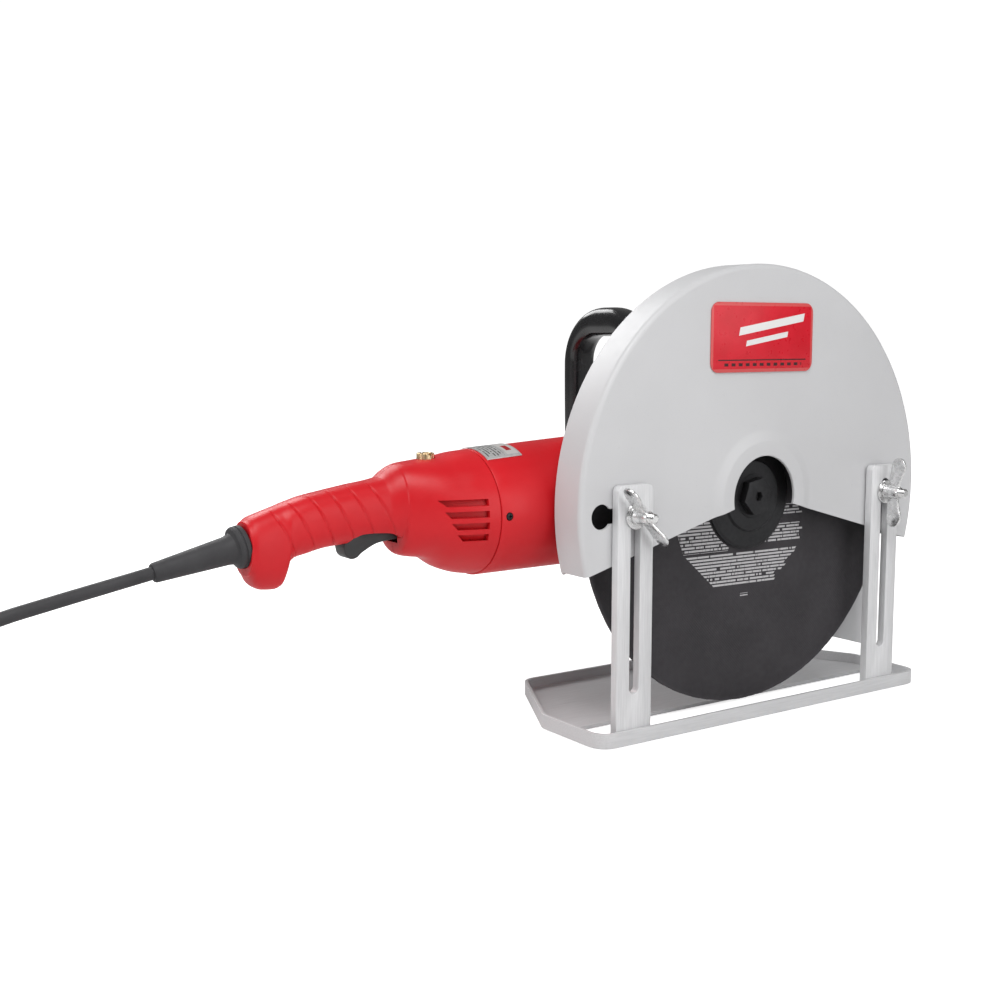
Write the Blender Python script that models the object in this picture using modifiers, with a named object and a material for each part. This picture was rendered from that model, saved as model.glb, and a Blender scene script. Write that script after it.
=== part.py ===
"""Hand-held electric cut-off saw for a 14 in abrasive wheel, standing on its depth shoe.

Metres, +Z up, +X forwards, the wheel on the -Y side. The origin lies on the shoe's sole,
under the spindle's axis and in the motor's middle plane.
"""

import math

import bmesh
import bpy
from mathutils import Matrix, Vector

# Driving dimensions
AXIS_Z = 0.186  # spindle and motor axes above the sole
WHEEL_RADIUS = 0.1778  # standard 14 in wheel
WHEEL_BORE = 0.0127
WHEEL_BACK = -0.0668
WHEEL_FRONT = -0.0700
GUARD_RADIUS = 0.194
GUARD_FRONT = -0.088
GUARD_BACK = -0.055
GUARD_SHEET = 0.0025
ARBOR_HOLE = 0.035
GUARD_SLOPE = 0.28  # fall of the guard's lower edge, per metre sideways
GUARD_EDGE_Z = AXIS_Z + 0.002
MOTOR_FRONT = -0.1133
MOTOR_BACK = -0.240
MOTOR_FRONT_SECTION = (0.0530, -0.0540, 0.0535)  # top and bottom above the axis, half width
MOTOR_BACK_SECTION = (0.0458, -0.0545, 0.0502)
STATOR_RADIUS = 0.0425
WALL = 0.003
GUARD_SCREW_RING = 0.034  # radius of the circle of the guard's three screws
GUARD_SCREW_ANGLES = (30, 150, 270)
COVER_SCREW_RING = 0.0408
COVER_SCREW_ANGLES = (83, 203, 323)
GEAR_TEETH = 33
PINION_TEETH = 11
GEAR_MODULE = 0.002
GEAR_PITCH = GEAR_TEETH * GEAR_MODULE / 2
PINION_PITCH = PINION_TEETH * GEAR_MODULE / 2
STUD_X = 0.1455
STUD_Z = AXIS_Z - 0.004
BAR_WIDTH = 0.0355
BAR_BACK = -0.089
BAR_FRONT = -0.0962
STUD_END = -0.1195
WASHER = 0.0016
SLOT_WIDTH = 0.0098
SLOT_LOW = 0.040
SLOT_HIGH = 0.194
SHOE_NEAR = -0.0995
SHOE_FAR = 0.080
SHOE_LEFT = -0.181
SHOE_RIGHT = 0.197
SHOE_RIM = 0.012
OPENING_LEFT = -0.166
OPENING_RIGHT = 0.180
OPENING_FAR = -0.0454
BAIL_X = -0.094
BAIL_TOP = 0.3445
BAIL_FOOT = 0.172
LUG_SCREW_X = -0.233
LUG_SCREW_Z = AXIS_Z - 0.003
LABEL_BACK = -0.2375
LABEL_FRONT = -0.2045
LABEL_NEAR = -0.026
LABEL_FAR = 0.010
BRUSH_X = -0.278
TRIGGER_PIVOT = (-0.307, 0.0, AXIS_Z - 0.0135)
TRIGGER_HALF_WIDTH = 0.0078
TRIGGER_OPENING = 0.0086  # half width of the gap in the handle
SPRING_X = -0.335
CORD_RADIUS = 0.00475
COIL_RADIUS = 0.052
COIL_CENTRE = (-0.800, COIL_RADIUS)
COIL_HALF_WIDTH = 0.0145
COIL_HEIGHT = 0.0195
GAP = 0.0003  # between pieces that touch
ROUND = 36  # sides of a large round piece
SMALL = 16  # sides of a small one

ALONG = {"X": (0, math.pi / 2, 0), "Y": (-math.pi / 2, 0, 0), "Z": (0, 0, 0)}
FACING_FRONT = (math.pi / 2, 0, 0)  # a flat outline's x, y as world X, Z
FACING_SIDE = (math.pi / 2, 0, math.pi / 2)  # a flat outline's x, y as world Y, Z

PAINTS = {
    "red_plastic": ((0.66, 0.013, 0.02), 0.42, 0.0),
    "black_rubber": ((0.013, 0.013, 0.014), 0.35, 0.0),
    "grey_rubber": ((0.08, 0.08, 0.083), 0.6, 0.0),
    "guard_paint": ((0.63, 0.63, 0.64), 0.45, 0.3),
    "aluminium": ((0.62, 0.62, 0.63), 0.35, 0.9),
    "zinc": ((0.7, 0.7, 0.7), 0.25, 1.0),
    "steel": ((0.35, 0.35, 0.36), 0.35, 1.0),
    "black_steel": ((0.03, 0.03, 0.032), 0.45, 0.6),
    "abrasive": ((0.05, 0.048, 0.05), 0.9, 0.0),
    "brass": ((0.75, 0.56, 0.3), 0.3, 1.0),
    "copper": ((0.7, 0.3, 0.15), 0.35, 1.0),
    "black_plastic": ((0.02, 0.02, 0.02), 0.5, 0.0),
    "carbon": ((0.03, 0.03, 0.03), 0.7, 0.0),
    "label": ((0.55, 0.56, 0.57), 0.35, 0.6),
}


def clear_scene():
    for obj in list(bpy.data.objects):
        bpy.data.objects.remove(obj, do_unlink=True)


clear_scene()
parts = bpy.data.collections.new("rescue_saw")
cutters = bpy.data.collections.new("cutters")
bpy.context.scene.collection.children.link(parts)
bpy.context.scene.collection.children.link(cutters)


def paint(name):
    found = bpy.data.materials.get(name)
    if found:
        return found
    colour, roughness, metallic = PAINTS[name]
    made = bpy.data.materials.new(name)
    made.use_nodes = True
    shader = made.node_tree.nodes["Principled BSDF"]
    shader.inputs["Base Color"].default_value = (*colour, 1.0)
    shader.inputs["Roughness"].default_value = roughness
    shader.inputs["Metallic"].default_value = metallic
    return made


def place(name, data, material, location=(0, 0, 0), rotation=(0, 0, 0)):
    obj = bpy.data.objects.new(name, data)
    obj.location = location
    obj.rotation_euler = rotation
    parts.objects.link(obj)
    if material:
        data.materials.append(paint(material))
    return obj


def cut(target, cutter, operation="DIFFERENCE"):
    """Cuts the cutter from the target, or joins or keeps what they share, and puts the cutter away."""
    parts.objects.unlink(cutter)
    cutters.objects.link(cutter)
    cutter.hide_render = True
    cutter.display_type = "WIRE"
    boolean = target.modifiers.new(operation.lower(), "BOOLEAN")
    boolean.operation = operation
    boolean.object = cutter
    return target


def join(target, other):
    return cut(target, other, "UNION")


def turned(name, profile, axis, location, material, sides=ROUND):
    """A solid of revolution from points (radius, height along the axis)."""
    ring = list(profile)
    area = sum(a[0] * b[1] - b[0] * a[1] for a, b in zip(ring, ring[1:] + ring[:1]))
    if area > 0:
        ring.reverse()
    count = len(ring)
    open_ring = ring[0][0] == 0 and ring[-1][0] == 0
    edges = [(i, (i + 1) % count) for i in range(count - (1 if open_ring else 0))]
    mesh = bpy.data.meshes.new(name)
    mesh.from_pydata([(radius, 0, height) for radius, height in ring], edges, [])
    obj = place(name, mesh, material, location, ALONG[axis] if isinstance(axis, str) else axis)
    screw = obj.modifiers.new("turn", "SCREW")
    screw.steps = sides
    screw.render_steps = sides
    screw.use_merge_vertices = True
    screw.merge_threshold = 0.00001
    return obj


def ring(name, inner, outer, low, high, axis, location, material, sides=ROUND):
    profile = [(inner, low), (outer, low), (outer, high), (inner, high)]
    return turned(name, profile, axis, location, material, sides)


def mesh_from(name, build):
    made = bmesh.new()
    build(made)
    mesh = bpy.data.meshes.new(name)
    made.to_mesh(mesh)
    made.free()
    return mesh


def rod(name, start, end, radius, material, sides=SMALL, end_radius=None):
    start = Vector(start)
    run = Vector(end) - start
    mesh = mesh_from(
        name,
        lambda made: bmesh.ops.create_cone(
            made,
            cap_ends=True,
            segments=sides,
            radius1=radius,
            radius2=end_radius or radius,
            depth=run.length,
        ),
    )
    turn = Vector((0, 0, 1)).rotation_difference(run).to_euler()
    return place(name, mesh, material, start + run / 2, turn)


def block(name, low, high, material):
    low = Vector(low)
    size = Vector(high) - low

    def build(made):
        bmesh.ops.create_cube(made, size=1)
        bmesh.ops.scale(made, vec=size, verts=made.verts)

    return place(name, mesh_from(name, build), material, low + size / 2)


def as_mesh(curve_object, name, material):
    """The curve object's shape as a mesh object in its place, with its caps welded."""
    bpy.context.view_layer.update()
    graph = bpy.context.evaluated_depsgraph_get()
    mesh = bpy.data.meshes.new_from_object(curve_object.evaluated_get(graph))
    made = bmesh.new()
    made.from_mesh(mesh)
    bmesh.ops.remove_doubles(made, verts=made.verts, dist=0.00001)
    bmesh.ops.recalc_face_normals(made, faces=made.faces)
    made.to_mesh(mesh)
    made.free()
    mesh.materials.clear()
    obj = place(name, mesh, material)
    obj.matrix_world = curve_object.matrix_world
    bpy.data.objects.remove(curve_object, do_unlink=True)
    return obj


def sheet(name, outlines, thickness, middle, rotation, material):
    """A flat piece: the first outline filled, less the others inside it."""
    curve = bpy.data.curves.new(name, "CURVE")
    curve.dimensions = "2D"
    curve.fill_mode = "BOTH"
    curve.extrude = thickness / 2
    for outline in outlines:
        spline = curve.splines.new("POLY")
        spline.points.add(len(outline) - 1)
        for point, (x, y) in zip(spline.points, outline):
            point.co = (x, y, 0, 1)
        spline.use_cyclic_u = True
    flat = place(name + "_outline", curve, None, middle, rotation)
    return as_mesh(flat, name, material)


def bevel(obj, width, segments=2):
    modifier = obj.modifiers.new("round", "BEVEL")
    modifier.width = width
    modifier.segments = segments
    modifier.limit_method = "ANGLE"
    modifier.angle_limit = math.radians(35)
    return obj


def arc(x, y, radius, start, end, count):
    """Points on an arc, in degrees from start to end."""
    angles = [math.radians(start + (end - start) * i / count) for i in range(count + 1)]
    return [(x + radius * math.cos(a), y + radius * math.sin(a)) for a in angles]


def slot_outline(x, low, high, width, count=6):
    half = width / 2
    return arc(x, high - half, half, 0, 180, count) + arc(x, low + half, half, 180, 360, count)


def rounded_box(left, low, right, high, radius, count=3):
    return (
        arc(right - radius, high - radius, radius, 0, 90, count)
        + arc(left + radius, high - radius, radius, 90, 180, count)
        + arc(left + radius, low + radius, radius, 180, 270, count)
        + arc(right - radius, low + radius, radius, 270, 360, count)
    )


# --- wheel end: guard, wheel, flanges, spindle ---


def lower_edge(x):
    return GUARD_EDGE_Z - GUARD_SLOPE * abs(x)


def guard():
    """Front face and rim turned round the spindle, cut off below, on a flat back wall."""
    front, sheet_back = GUARD_FRONT, GUARD_FRONT + GUARD_SHEET
    raised = 0.003
    rim_inner = GUARD_RADIUS - GUARD_SHEET
    profile = [
        (ARBOR_HOLE, front - raised),
        (0.047, front - raised),
        (0.057, front),
        (GUARD_RADIUS - 0.0045, front),
        (GUARD_RADIUS - 0.0013, front + 0.0013),
        (GUARD_RADIUS, front + 0.0045),
        (GUARD_RADIUS, GUARD_BACK),
        (rim_inner, GUARD_BACK),
        (rim_inner, sheet_back + 0.002),
        (rim_inner - 0.002, sheet_back),
        (0.0575, sheet_back),
        (0.0475, sheet_back - raised),
        (ARBOR_HOLE, sheet_back - raised),
    ]
    shell = turned("guard_shell", profile, "Y", (0, 0, AXIS_Z), "guard_paint", 60)
    side = 0.26
    below = [(0, GUARD_EDGE_Z), (side, lower_edge(side)), (side, -0.05), (-side, -0.05)]
    below.append((-side, lower_edge(side)))
    cut(shell, sheet("guard_below", [below], 0.08, (0, GUARD_FRONT, 0), FACING_FRONT, None))
    cut(shell, rod("guard_keyhole", (-0.173, -0.1, STUD_Z), (-0.173, -0.07, STUD_Z), 0.010, None))
    keyway = block("guard_keyway", (-0.173, -0.1, STUD_Z - 0.006), (-0.150, -0.07, STUD_Z + 0.006), None)
    cut(shell, keyway)

    # The back wall keeps a disc round the spindle and a skirt behind the wheel's front quarter.
    reach = GUARD_RADIUS - 0.0012
    corner = math.degrees(math.asin((GUARD_EDGE_Z - AXIS_Z - GUARD_SLOPE * reach) / reach))
    over = arc(0, AXIS_Z, reach, corner, 180 - corner, 40)
    boss = arc(0, AXIS_Z, 0.052, 188, 322, 12)
    skirt_left, skirt_right = 0.041, 0.172
    skirt = [(skirt_left, 0.069), (skirt_right, 0.031), (skirt_right, lower_edge(skirt_right) + 0.001)]
    hole = arc(0, AXIS_Z, 0.0235, 0, 345, 23)
    wall = sheet(
        "guard_back_wall",
        [over + boss + skirt, hole],
        GUARD_SHEET,
        (0, GUARD_BACK - GUARD_SHEET / 2 - 0.0002, 0),
        FACING_FRONT,
        None,
    )
    join(shell, wall)
    screw = [(0, -0.0608), (0.004, -0.0608), (0.0052, -0.0595), (0.0052, -0.0580)]
    screw += [(0.0026, -0.0580), (0.0026, -0.0440), (0, -0.0440)]
    for index, angle in enumerate(GUARD_SCREW_ANGLES):
        x, z = polar(GUARD_SCREW_RING, angle)
        cut(shell, rod("guard_screw_hole", (x, -0.060, z), (x, -0.052, z), 0.0029, None, 12))
        turned(f"guard_screw_{index + 1}", screw, "Y", (x, 0, z), "zinc", 12)
    for side_x, label in ((-STUD_X, "left"), (STUD_X, "right")):
        cut(shell, rod("stud_hole", (side_x, -0.1, STUD_Z), (side_x, -0.07, STUD_Z), 0.0043, None, SMALL))
        fixing(side_x, label)


def polar(radius, angle):
    """World X and Z of a point round the spindle."""
    turn = math.radians(angle)
    return radius * math.cos(turn), AXIS_Z + radius * math.sin(turn)


def fixing(x, label):
    """Carriage bolt through guard and bar, with its washer and wing nut."""
    head_back = GUARD_FRONT + GUARD_SHEET + GAP
    profile = [
        (0, head_back + 0.0035),
        (0.005, head_back + 0.003),
        (0.009, head_back),
        (0.004, head_back),
        (0.004, STUD_END + 0.001),
        (0.003, STUD_END),
        (0, STUD_END),
    ]
    turned(f"stud_{label}", profile, "Y", (x, 0, STUD_Z), "zinc", SMALL)
    washer_back = BAR_FRONT - GAP
    here = (x, 0, STUD_Z)
    ring(f"washer_{label}", 0.0043, 0.0105, washer_back - WASHER, washer_back, "Y", here, "zinc", 24)
    nut_back = washer_back - WASHER - GAP
    hub = [
        (0.0043, nut_back),
        (0.0068, nut_back),
        (0.0068, nut_back - 0.0015),
        (0.0055, nut_back - 0.003),
        (0.0052, nut_back - 0.015),
        (0.0043, nut_back - 0.015),
    ]
    nut = turned(f"wing_nut_{label}", hub, "Y", (x, 0, STUD_Z), "zinc", 24)
    # Each wing is a flat upright lobe that widens away from the hub.
    tilt = math.radians(-50 if label == "left" else 84)
    for turn in (0, math.pi):
        wing = [(0.0045, 0.0025), (0.010, 0.0020), (0.019, 0.0030)]
        wing += arc(0.0235, 0.0100, 0.0075, -60, 120, 6)
        wing += [(0.012, 0.0145), (0.0045, 0.0125)]
        made = sheet(f"wing_{label}", [wing], 0.0024, (0, 0, 0), (0, 0, 0), None)
        made.matrix_world = Matrix.Translation((x, nut_back, STUD_Z)) @ wing_basis(tilt + turn)
        join(nut, made)


def wing_basis(turn):
    """A flat wing's x axis as the direction at this angle from +X towards +Z, and its y axis as -Y."""
    out = Vector((math.cos(turn), 0, math.sin(turn)))
    away = Vector((0, -1, 0))
    return Matrix((out, away, out.cross(away))).transposed().to_4x4()


def badge():
    outline = rounded_box(-0.063, AXIS_Z + 0.105, 0.054, AXIS_Z + 0.162, 0.008)
    thickness = 0.0008
    middle = (0, GUARD_FRONT - GAP - thickness / 2, 0)
    sheet("guard_badge", [outline], thickness, middle, FACING_FRONT, "red_plastic")


def wheel_assembly():
    here = (0, 0, AXIS_Z)
    ring("cutting_wheel", WHEEL_BORE, WHEEL_RADIUS, WHEEL_FRONT, WHEEL_BACK, "Y", here, "abrasive", 60)
    back = WHEEL_BACK + GAP
    pilot = WHEEL_BORE - GAP
    inner = [
        (0.0088, back + 0.0038),
        (0.046, back + 0.0038),
        (0.046, back),
        (pilot, back),
        (pilot, WHEEL_FRONT + GAP),
        (0.0088, WHEEL_FRONT + GAP),
    ]
    turned("inner_flange", inner, "Y", here, "black_steel")
    front = WHEEL_FRONT - GAP
    outer = [
        (0.0088, front),
        (0.046, front),
        (0.046, front - 0.0020),
        (0.044, front - 0.0034),
        (0.0305, front - 0.0040),
        (0.0295, front - 0.0066),
        (0.0088, front - 0.0066),
    ]
    turned("outer_flange", outer, "Y", here, "black_steel")
    bolt_back = front - 0.0066 - GAP
    head = rod("flange_bolt", (0, bolt_back, AXIS_Z), (0, -0.084, AXIS_Z), 0.0165, "black_steel", 6)
    join(head, rod("bolt_shank", (0, bolt_back - 0.002, AXIS_Z), (0, -0.060, AXIS_Z), 0.006, None))
    cut(head, rod("bolt_socket", (0, -0.090, AXIS_Z), (0, -0.079, AXIS_Z), 0.0043, None, 6))
    spindle = [
        (0, 0.0325),
        (0.006, 0.0325),
        (0.006, 0.0150),
        (0.0085, 0.0150),
        (0.0085, -0.0225),
        (0.0105, -0.0225),
        (0.0105, -0.0355),
        (0.0085, -0.0355),
        (0.0085, -0.0740),
        (0.0063, -0.0740),
        (0.0063, -0.0590),
        (0, -0.0590),
    ]
    turned("spindle", spindle, "Y", here, "steel", 24)
    bevel_gear("bevel_gear", GEAR_TEETH, GEAR_PITCH, PINION_PITCH, 0.0088, 0.021, FACING_FRONT, 0, "steel")


def bevel_gear(name, teeth, pitch, mate_pitch, bore, back, rotation, first_tooth, material):
    """A straight-toothed bevel gear whose cone's apex is the object's origin, on both axes."""
    cone = math.hypot(pitch, mate_pitch)
    tilt = math.atan2(pitch, mate_pitch)
    addendum, dedendum, inner_scale = 0.5 * GEAR_MODULE, 0.8 * GEAR_MODULE, 0.72
    tip, root = 0.13, 0.24  # half-widths of a tooth, as parts of its pitch

    def tooth_ring(scale):
        points = []
        for tooth in range(teeth):
            for offset, high in ((-root, False), (-tip, True), (tip, True), (root, False)):
                angle = first_tooth + 2 * math.pi * (tooth + offset) / teeth
                lift = addendum if high else -dedendum
                radius = scale * (cone * math.sin(tilt) + lift * math.cos(tilt))
                height = scale * (cone * math.cos(tilt) - lift * math.sin(tilt))
                points.append((radius * math.cos(angle), radius * math.sin(angle), height))
        return points

    def plain_ring(radius, height):
        count = 4 * teeth
        angles = [first_tooth + 2 * math.pi * i / count for i in range(count)]
        return [(radius * math.cos(a), radius * math.sin(a), height) for a in angles]

    inner = tooth_ring(inner_scale)
    outer = tooth_ring(1)
    face_height = min(z for _, _, z in inner) + 0.0005
    outer_radius = cone * math.sin(tilt) - dedendum * math.cos(tilt)
    back_radius = outer_radius * 0.93
    rings = [
        plain_ring(bore, face_height),
        inner,
        outer,
        plain_ring(back_radius, back),
        plain_ring(bore, back),
    ]
    count = 4 * teeth
    points = [point for points_of in rings for point in points_of]
    faces = []
    for level in range(len(rings)):
        after = (level + 1) % len(rings)
        for i in range(count):
            j = (i + 1) % count
            quad = (level * count + i, level * count + j, after * count + j, after * count + i)
            faces.append(quad)
    mesh = bpy.data.meshes.new(name)
    mesh.from_pydata(points, [], faces)
    made = bmesh.new()
    made.from_mesh(mesh)
    bmesh.ops.triangulate(made, faces=made.faces)
    bmesh.ops.recalc_face_normals(made, faces=made.faces)
    made.to_mesh(mesh)
    made.free()
    return place(name, mesh, material, (0, 0, AXIS_Z), rotation)


# --- gear case and motor ---


def gear_case():
    here = (0, 0, AXIS_Z)
    case = turned(
        "gear_case",
        [(0, -0.0547), (0.0435, -0.0547), (0.0455, -0.0525), (0.0455, 0.032), (0, 0.032)],
        "Y",
        here,
        "aluminium",
    )
    neck = turned(
        "gear_neck",
        [
            (0, -0.113),
            (0.0528, -0.113),
            (0.0528, -0.1085),
            (0.034, -0.1056),
            (0.034, -0.056),
            (0.0312, -0.050),
            (0.0312, -0.030),
            (0, -0.030),
        ],
        "X",
        here,
        None,
    )
    join(case, neck)
    join(case, rod("bail_boss", (BAIL_X, -0.0377, AXIS_Z), (BAIL_X, 0.0377, AXIS_Z), 0.0115, None))
    chamber = [(0, -0.033), (0.0365, -0.033), (0.0365, 0.034), (0, 0.034)]
    cut(case, turned("gear_chamber", chamber, "Y", here, None))
    nose = [(0, -0.056), (0.0125, -0.056), (0.0125, -0.0500)]
    nose += [(0.0203, -0.0500), (0.0203, -0.032), (0, -0.032)]
    cut(case, turned("spindle_bore", nose, "Y", here, None))
    neck_bore = [
        (0, -0.115),
        (0.030, -0.115),
        (0.030, -0.1045),
        (0.0178, -0.1045),
        (0.0178, -0.0900),
        (0.0150, -0.0900),
        (0.0150, -0.0600),
        (0.0230, -0.0600),
        (0.0230, -0.0200),
        (0, -0.0200),
    ]
    cut(case, turned("armature_bore", neck_bore, "X", here, None))
    for angle in GUARD_SCREW_ANGLES:
        x, z = polar(GUARD_SCREW_RING, angle)
        cut(case, rod("guard_screw_thread", (x, -0.060, z), (x, -0.0435, z), 0.0029, None, 12))
    cover = [
        (0, 0.0375),
        (0.0445, 0.0375),
        (0.0455, 0.0365),
        (0.0455, 0.0323),
        (0.0170, 0.0323),
        (0.0170, 0.0210),
        (0.0133, 0.0210),
        (0.0133, 0.0335),
        (0, 0.0335),
    ]
    lid = turned("gear_case_cover", cover, "Y", here, "aluminium")
    screw = [(0, 0.0405), (0.003, 0.0405), (0.0038, 0.0395), (0.0038, 0.0378)]
    screw += [(0.0020, 0.0378), (0.0020, 0.0190), (0, 0.0190)]
    for index, angle in enumerate(COVER_SCREW_ANGLES):
        x, z = polar(COVER_SCREW_RING, angle)
        cut(case, rod("cover_thread", (x, 0.018, z), (x, 0.040, z), 0.0023, None, 12))
        cut(lid, rod("cover_hole", (x, 0.030, z), (x, 0.040, z), 0.0023, None, 12))
        turned(f"cover_screw_{index + 1}", screw, "Y", (x, 0, z), "zinc", 12)
    ring("spindle_front_bearing", 0.0088, 0.0200, -0.0497, -0.0358, "Y", here, "steel", 24)
    ring("spindle_rear_bearing", 0.0063, 0.0130, 0.0215, 0.0320, "Y", here, "steel", 24)
    for sign in (-1, 1):
        start, end = (BAIL_X, sign * 0.024, AXIS_Z), (BAIL_X, sign * 0.040, AXIS_Z)
        cut(case, rod("bail_thread", start, end, 0.0043, None))


def bail_stations():
    """Along the bail from its right foot to its left: outer and inner (y, z), half width along X."""
    outer_y, outer_radius = 0.052, 0.048
    inner_foot, inner_y, inner_radius = 0.038, 0.0355, 0.022
    outer_middle = BAIL_TOP - outer_radius
    inner_middle = BAIL_TOP - 0.024 - inner_radius
    half_foot, half_top = 0.011, 0.013
    leg = [
        ((outer_y - 0.002, BAIL_FOOT), (inner_foot + 0.002, BAIL_FOOT), half_foot - 0.002),
        ((outer_y, BAIL_FOOT + 0.003), (inner_foot, BAIL_FOOT + 0.003), half_foot),
        ((outer_y, AXIS_Z + 0.014), (inner_foot, AXIS_Z + 0.014), half_foot),
        ((outer_y, AXIS_Z + 0.060), (inner_y + 0.001, AXIS_Z + 0.060), half_foot + 0.001),
    ]
    outer_arch = arc(outer_y - outer_radius, outer_middle, outer_radius, 0, 90, 7)
    inner_arch = arc(inner_y - inner_radius, inner_middle, inner_radius, 0, 90, 7)
    half = leg + [(outer, inner, half_top) for outer, inner in zip(outer_arch, inner_arch)]
    other = [((-outer[0], outer[1]), (-inner[0], inner[1]), width) for outer, inner, width in half]
    return other + half[::-1]


def bail_handle():
    """A black loop over the neck of the gear case, held by a bolt through each leg."""
    sides, squareness = 16, 3.0
    rings = []
    for outer, inner, half_width in bail_stations():
        outer, inner = Vector((BAIL_X, *outer)), Vector((BAIL_X, *inner))
        middle, reach = (outer + inner) / 2, (outer - inner) / 2
        points = []
        for i in range(sides):
            out, along = superellipse(2 * math.pi * i / sides, squareness)
            points.append(middle + out * reach + Vector((along * half_width, 0, 0)))
        rings.append(points)
    loop = skin("bail_handle", rings, "black_rubber")
    for sign, label in ((-1, "right"), (1, "left")):
        here = (BAIL_X, 0, AXIS_Z)
        bore = [(0, 0.037), (0.0043, 0.037), (0.0043, 0.0455), (0.0070, 0.0455), (0.0070, 0.053), (0, 0.053)]
        bore = [(radius, sign * height) for radius, height in bore]
        cut(loop, turned("bail_bore", bore, "Y", here, None, SMALL))
        bolt = [(0, 0.0515), (0.0062, 0.0515), (0.0062, 0.0458)]
        bolt += [(0.0040, 0.0458), (0.0040, 0.0245), (0, 0.0245)]
        bolt = [(radius, sign * height) for radius, height in bolt]
        turned(f"bail_bolt_{label}", bolt, "Y", here, "black_steel", SMALL)


def motor_section(x, grow=0.0):
    """The housing's outline at x, moved outwards by grow: x, top, bottom, half width, squareness."""
    part = (x - MOTOR_BACK) / (MOTOR_FRONT - MOTOR_BACK)
    ends = zip(MOTOR_BACK_SECTION, MOTOR_FRONT_SECTION)
    top, bottom, half_width = (back + (front - back) * part for back, front in ends)
    return x, top + grow, bottom - grow, half_width + grow, 2.0


def motor_loft(name, back, front, grow, material):
    """A body between two places along the housing, its surface moved outwards by grow."""
    return loft(name, [motor_section(back, grow), motor_section(front, grow)], material, ROUND)


def motor():
    here = (0, 0, AXIS_Z)
    housing = motor_loft("motor_housing", MOTOR_BACK, MOTOR_FRONT, 0, "red_plastic")
    cut(housing, motor_loft("motor_bore", MOTOR_BACK - 0.001, MOTOR_FRONT + 0.001, -WALL, None))
    screw_side = motor_section(LUG_SCREW_X)[3]
    screw = [(0, 0.0006), (0.003, 0.0006), (0.003, -0.0027)]
    screw += [(0.0016, -0.0027), (0.0016, -0.0090), (0, -0.0090)]
    for sign, label in ((-1, "right"), (1, "left")):
        hole = rod(
            "housing_screw_hole",
            (LUG_SCREW_X, sign * (screw_side - 0.008), LUG_SCREW_Z),
            (LUG_SCREW_X, sign * (screw_side + 0.003), LUG_SCREW_Z),
            0.0033,
            None,
            12,
        )
        cut(housing, hole)
        sided = [(radius, sign * (screw_side + height)) for radius, height in screw]
        turned(f"housing_screw_{label}", sided, "Y", (LUG_SCREW_X, 0, LUG_SCREW_Z), "black_steel", 12)
    ring("stator", 0.0295, STATOR_RADIUS, -0.226, -0.138, "X", here, "steel")
    fan = ring("cooling_fan", 0.0078, 0.044, -0.1185, -0.1165, "X", here, "black_plastic")
    join(fan, ring("fan_hub", 0.0078, 0.013, -0.131, -0.117, "X", here, None))
    blade_count, blade_tip, blade_root = 9, 0.042, 0.0105
    blades = []
    for blade in range(blade_count):
        turn = 360 * blade / blade_count
        blades += arc(0, 0, blade_tip, turn - 1.5, turn + 1.5, 1)
        blades += arc(0, 0, blade_root, turn + 20, turn + 20, 1)[:1]
    fan_bore = arc(0, 0, 0.0079, 0, 345, 23)
    join(fan, sheet("fan_blades", [blades, fan_bore], 0.009, (-0.122, 0, AXIS_Z), FACING_SIDE, None))
    shaft = [
        (0, -0.0245),
        (0.006, -0.0245),
        (0.006, -0.091),
        (0.0075, -0.091),
        (0.0075, -0.138),
        (0.0240, -0.138),
        (0.0287, -0.1385),
        (0.0287, -0.2255),
        (0.0240, -0.2258),
        (0.0220, -0.244),
        (0.0075, -0.246),
        (0.0075, -0.289),
        (0.0040, -0.289),
        (0.0040, -0.2985),
        (0, -0.2985),
    ]
    turned("armature", shaft, "X", here, "steel", 24)
    ring("commutator", 0.0078, 0.0170, -0.288, -0.263, "X", here, "copper", 32)
    pinion_turn = (0, -math.pi / 2, 0)
    pitches = (PINION_PITCH, GEAR_PITCH)
    bevel_gear("bevel_pinion", PINION_TEETH, *pitches, 0.0063, 0.045, pinion_turn, -math.pi / 2, "steel")
    ring("motor_front_bearing", 0.0078, 0.0175, -0.104, -0.0905, "X", here, "steel", 24)
    ring("motor_rear_bearing", 0.0043, 0.0110, -0.2982, -0.2895, "X", here, "steel", 24)
    # The label is a patch of a thin skin over the housing's top.
    label = motor_loft("nameplate", LABEL_BACK, LABEL_FRONT, 0.0009, "label")
    cut(label, motor_loft("label_back", LABEL_BACK - 0.001, LABEL_FRONT + 0.001, GAP, None))
    low, high = (LABEL_BACK - 0.002, LABEL_NEAR, AXIS_Z), (LABEL_FRONT + 0.002, LABEL_FAR, AXIS_Z + 0.08)
    cut(label, block("label_patch", low, high, None), "INTERSECT")


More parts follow.
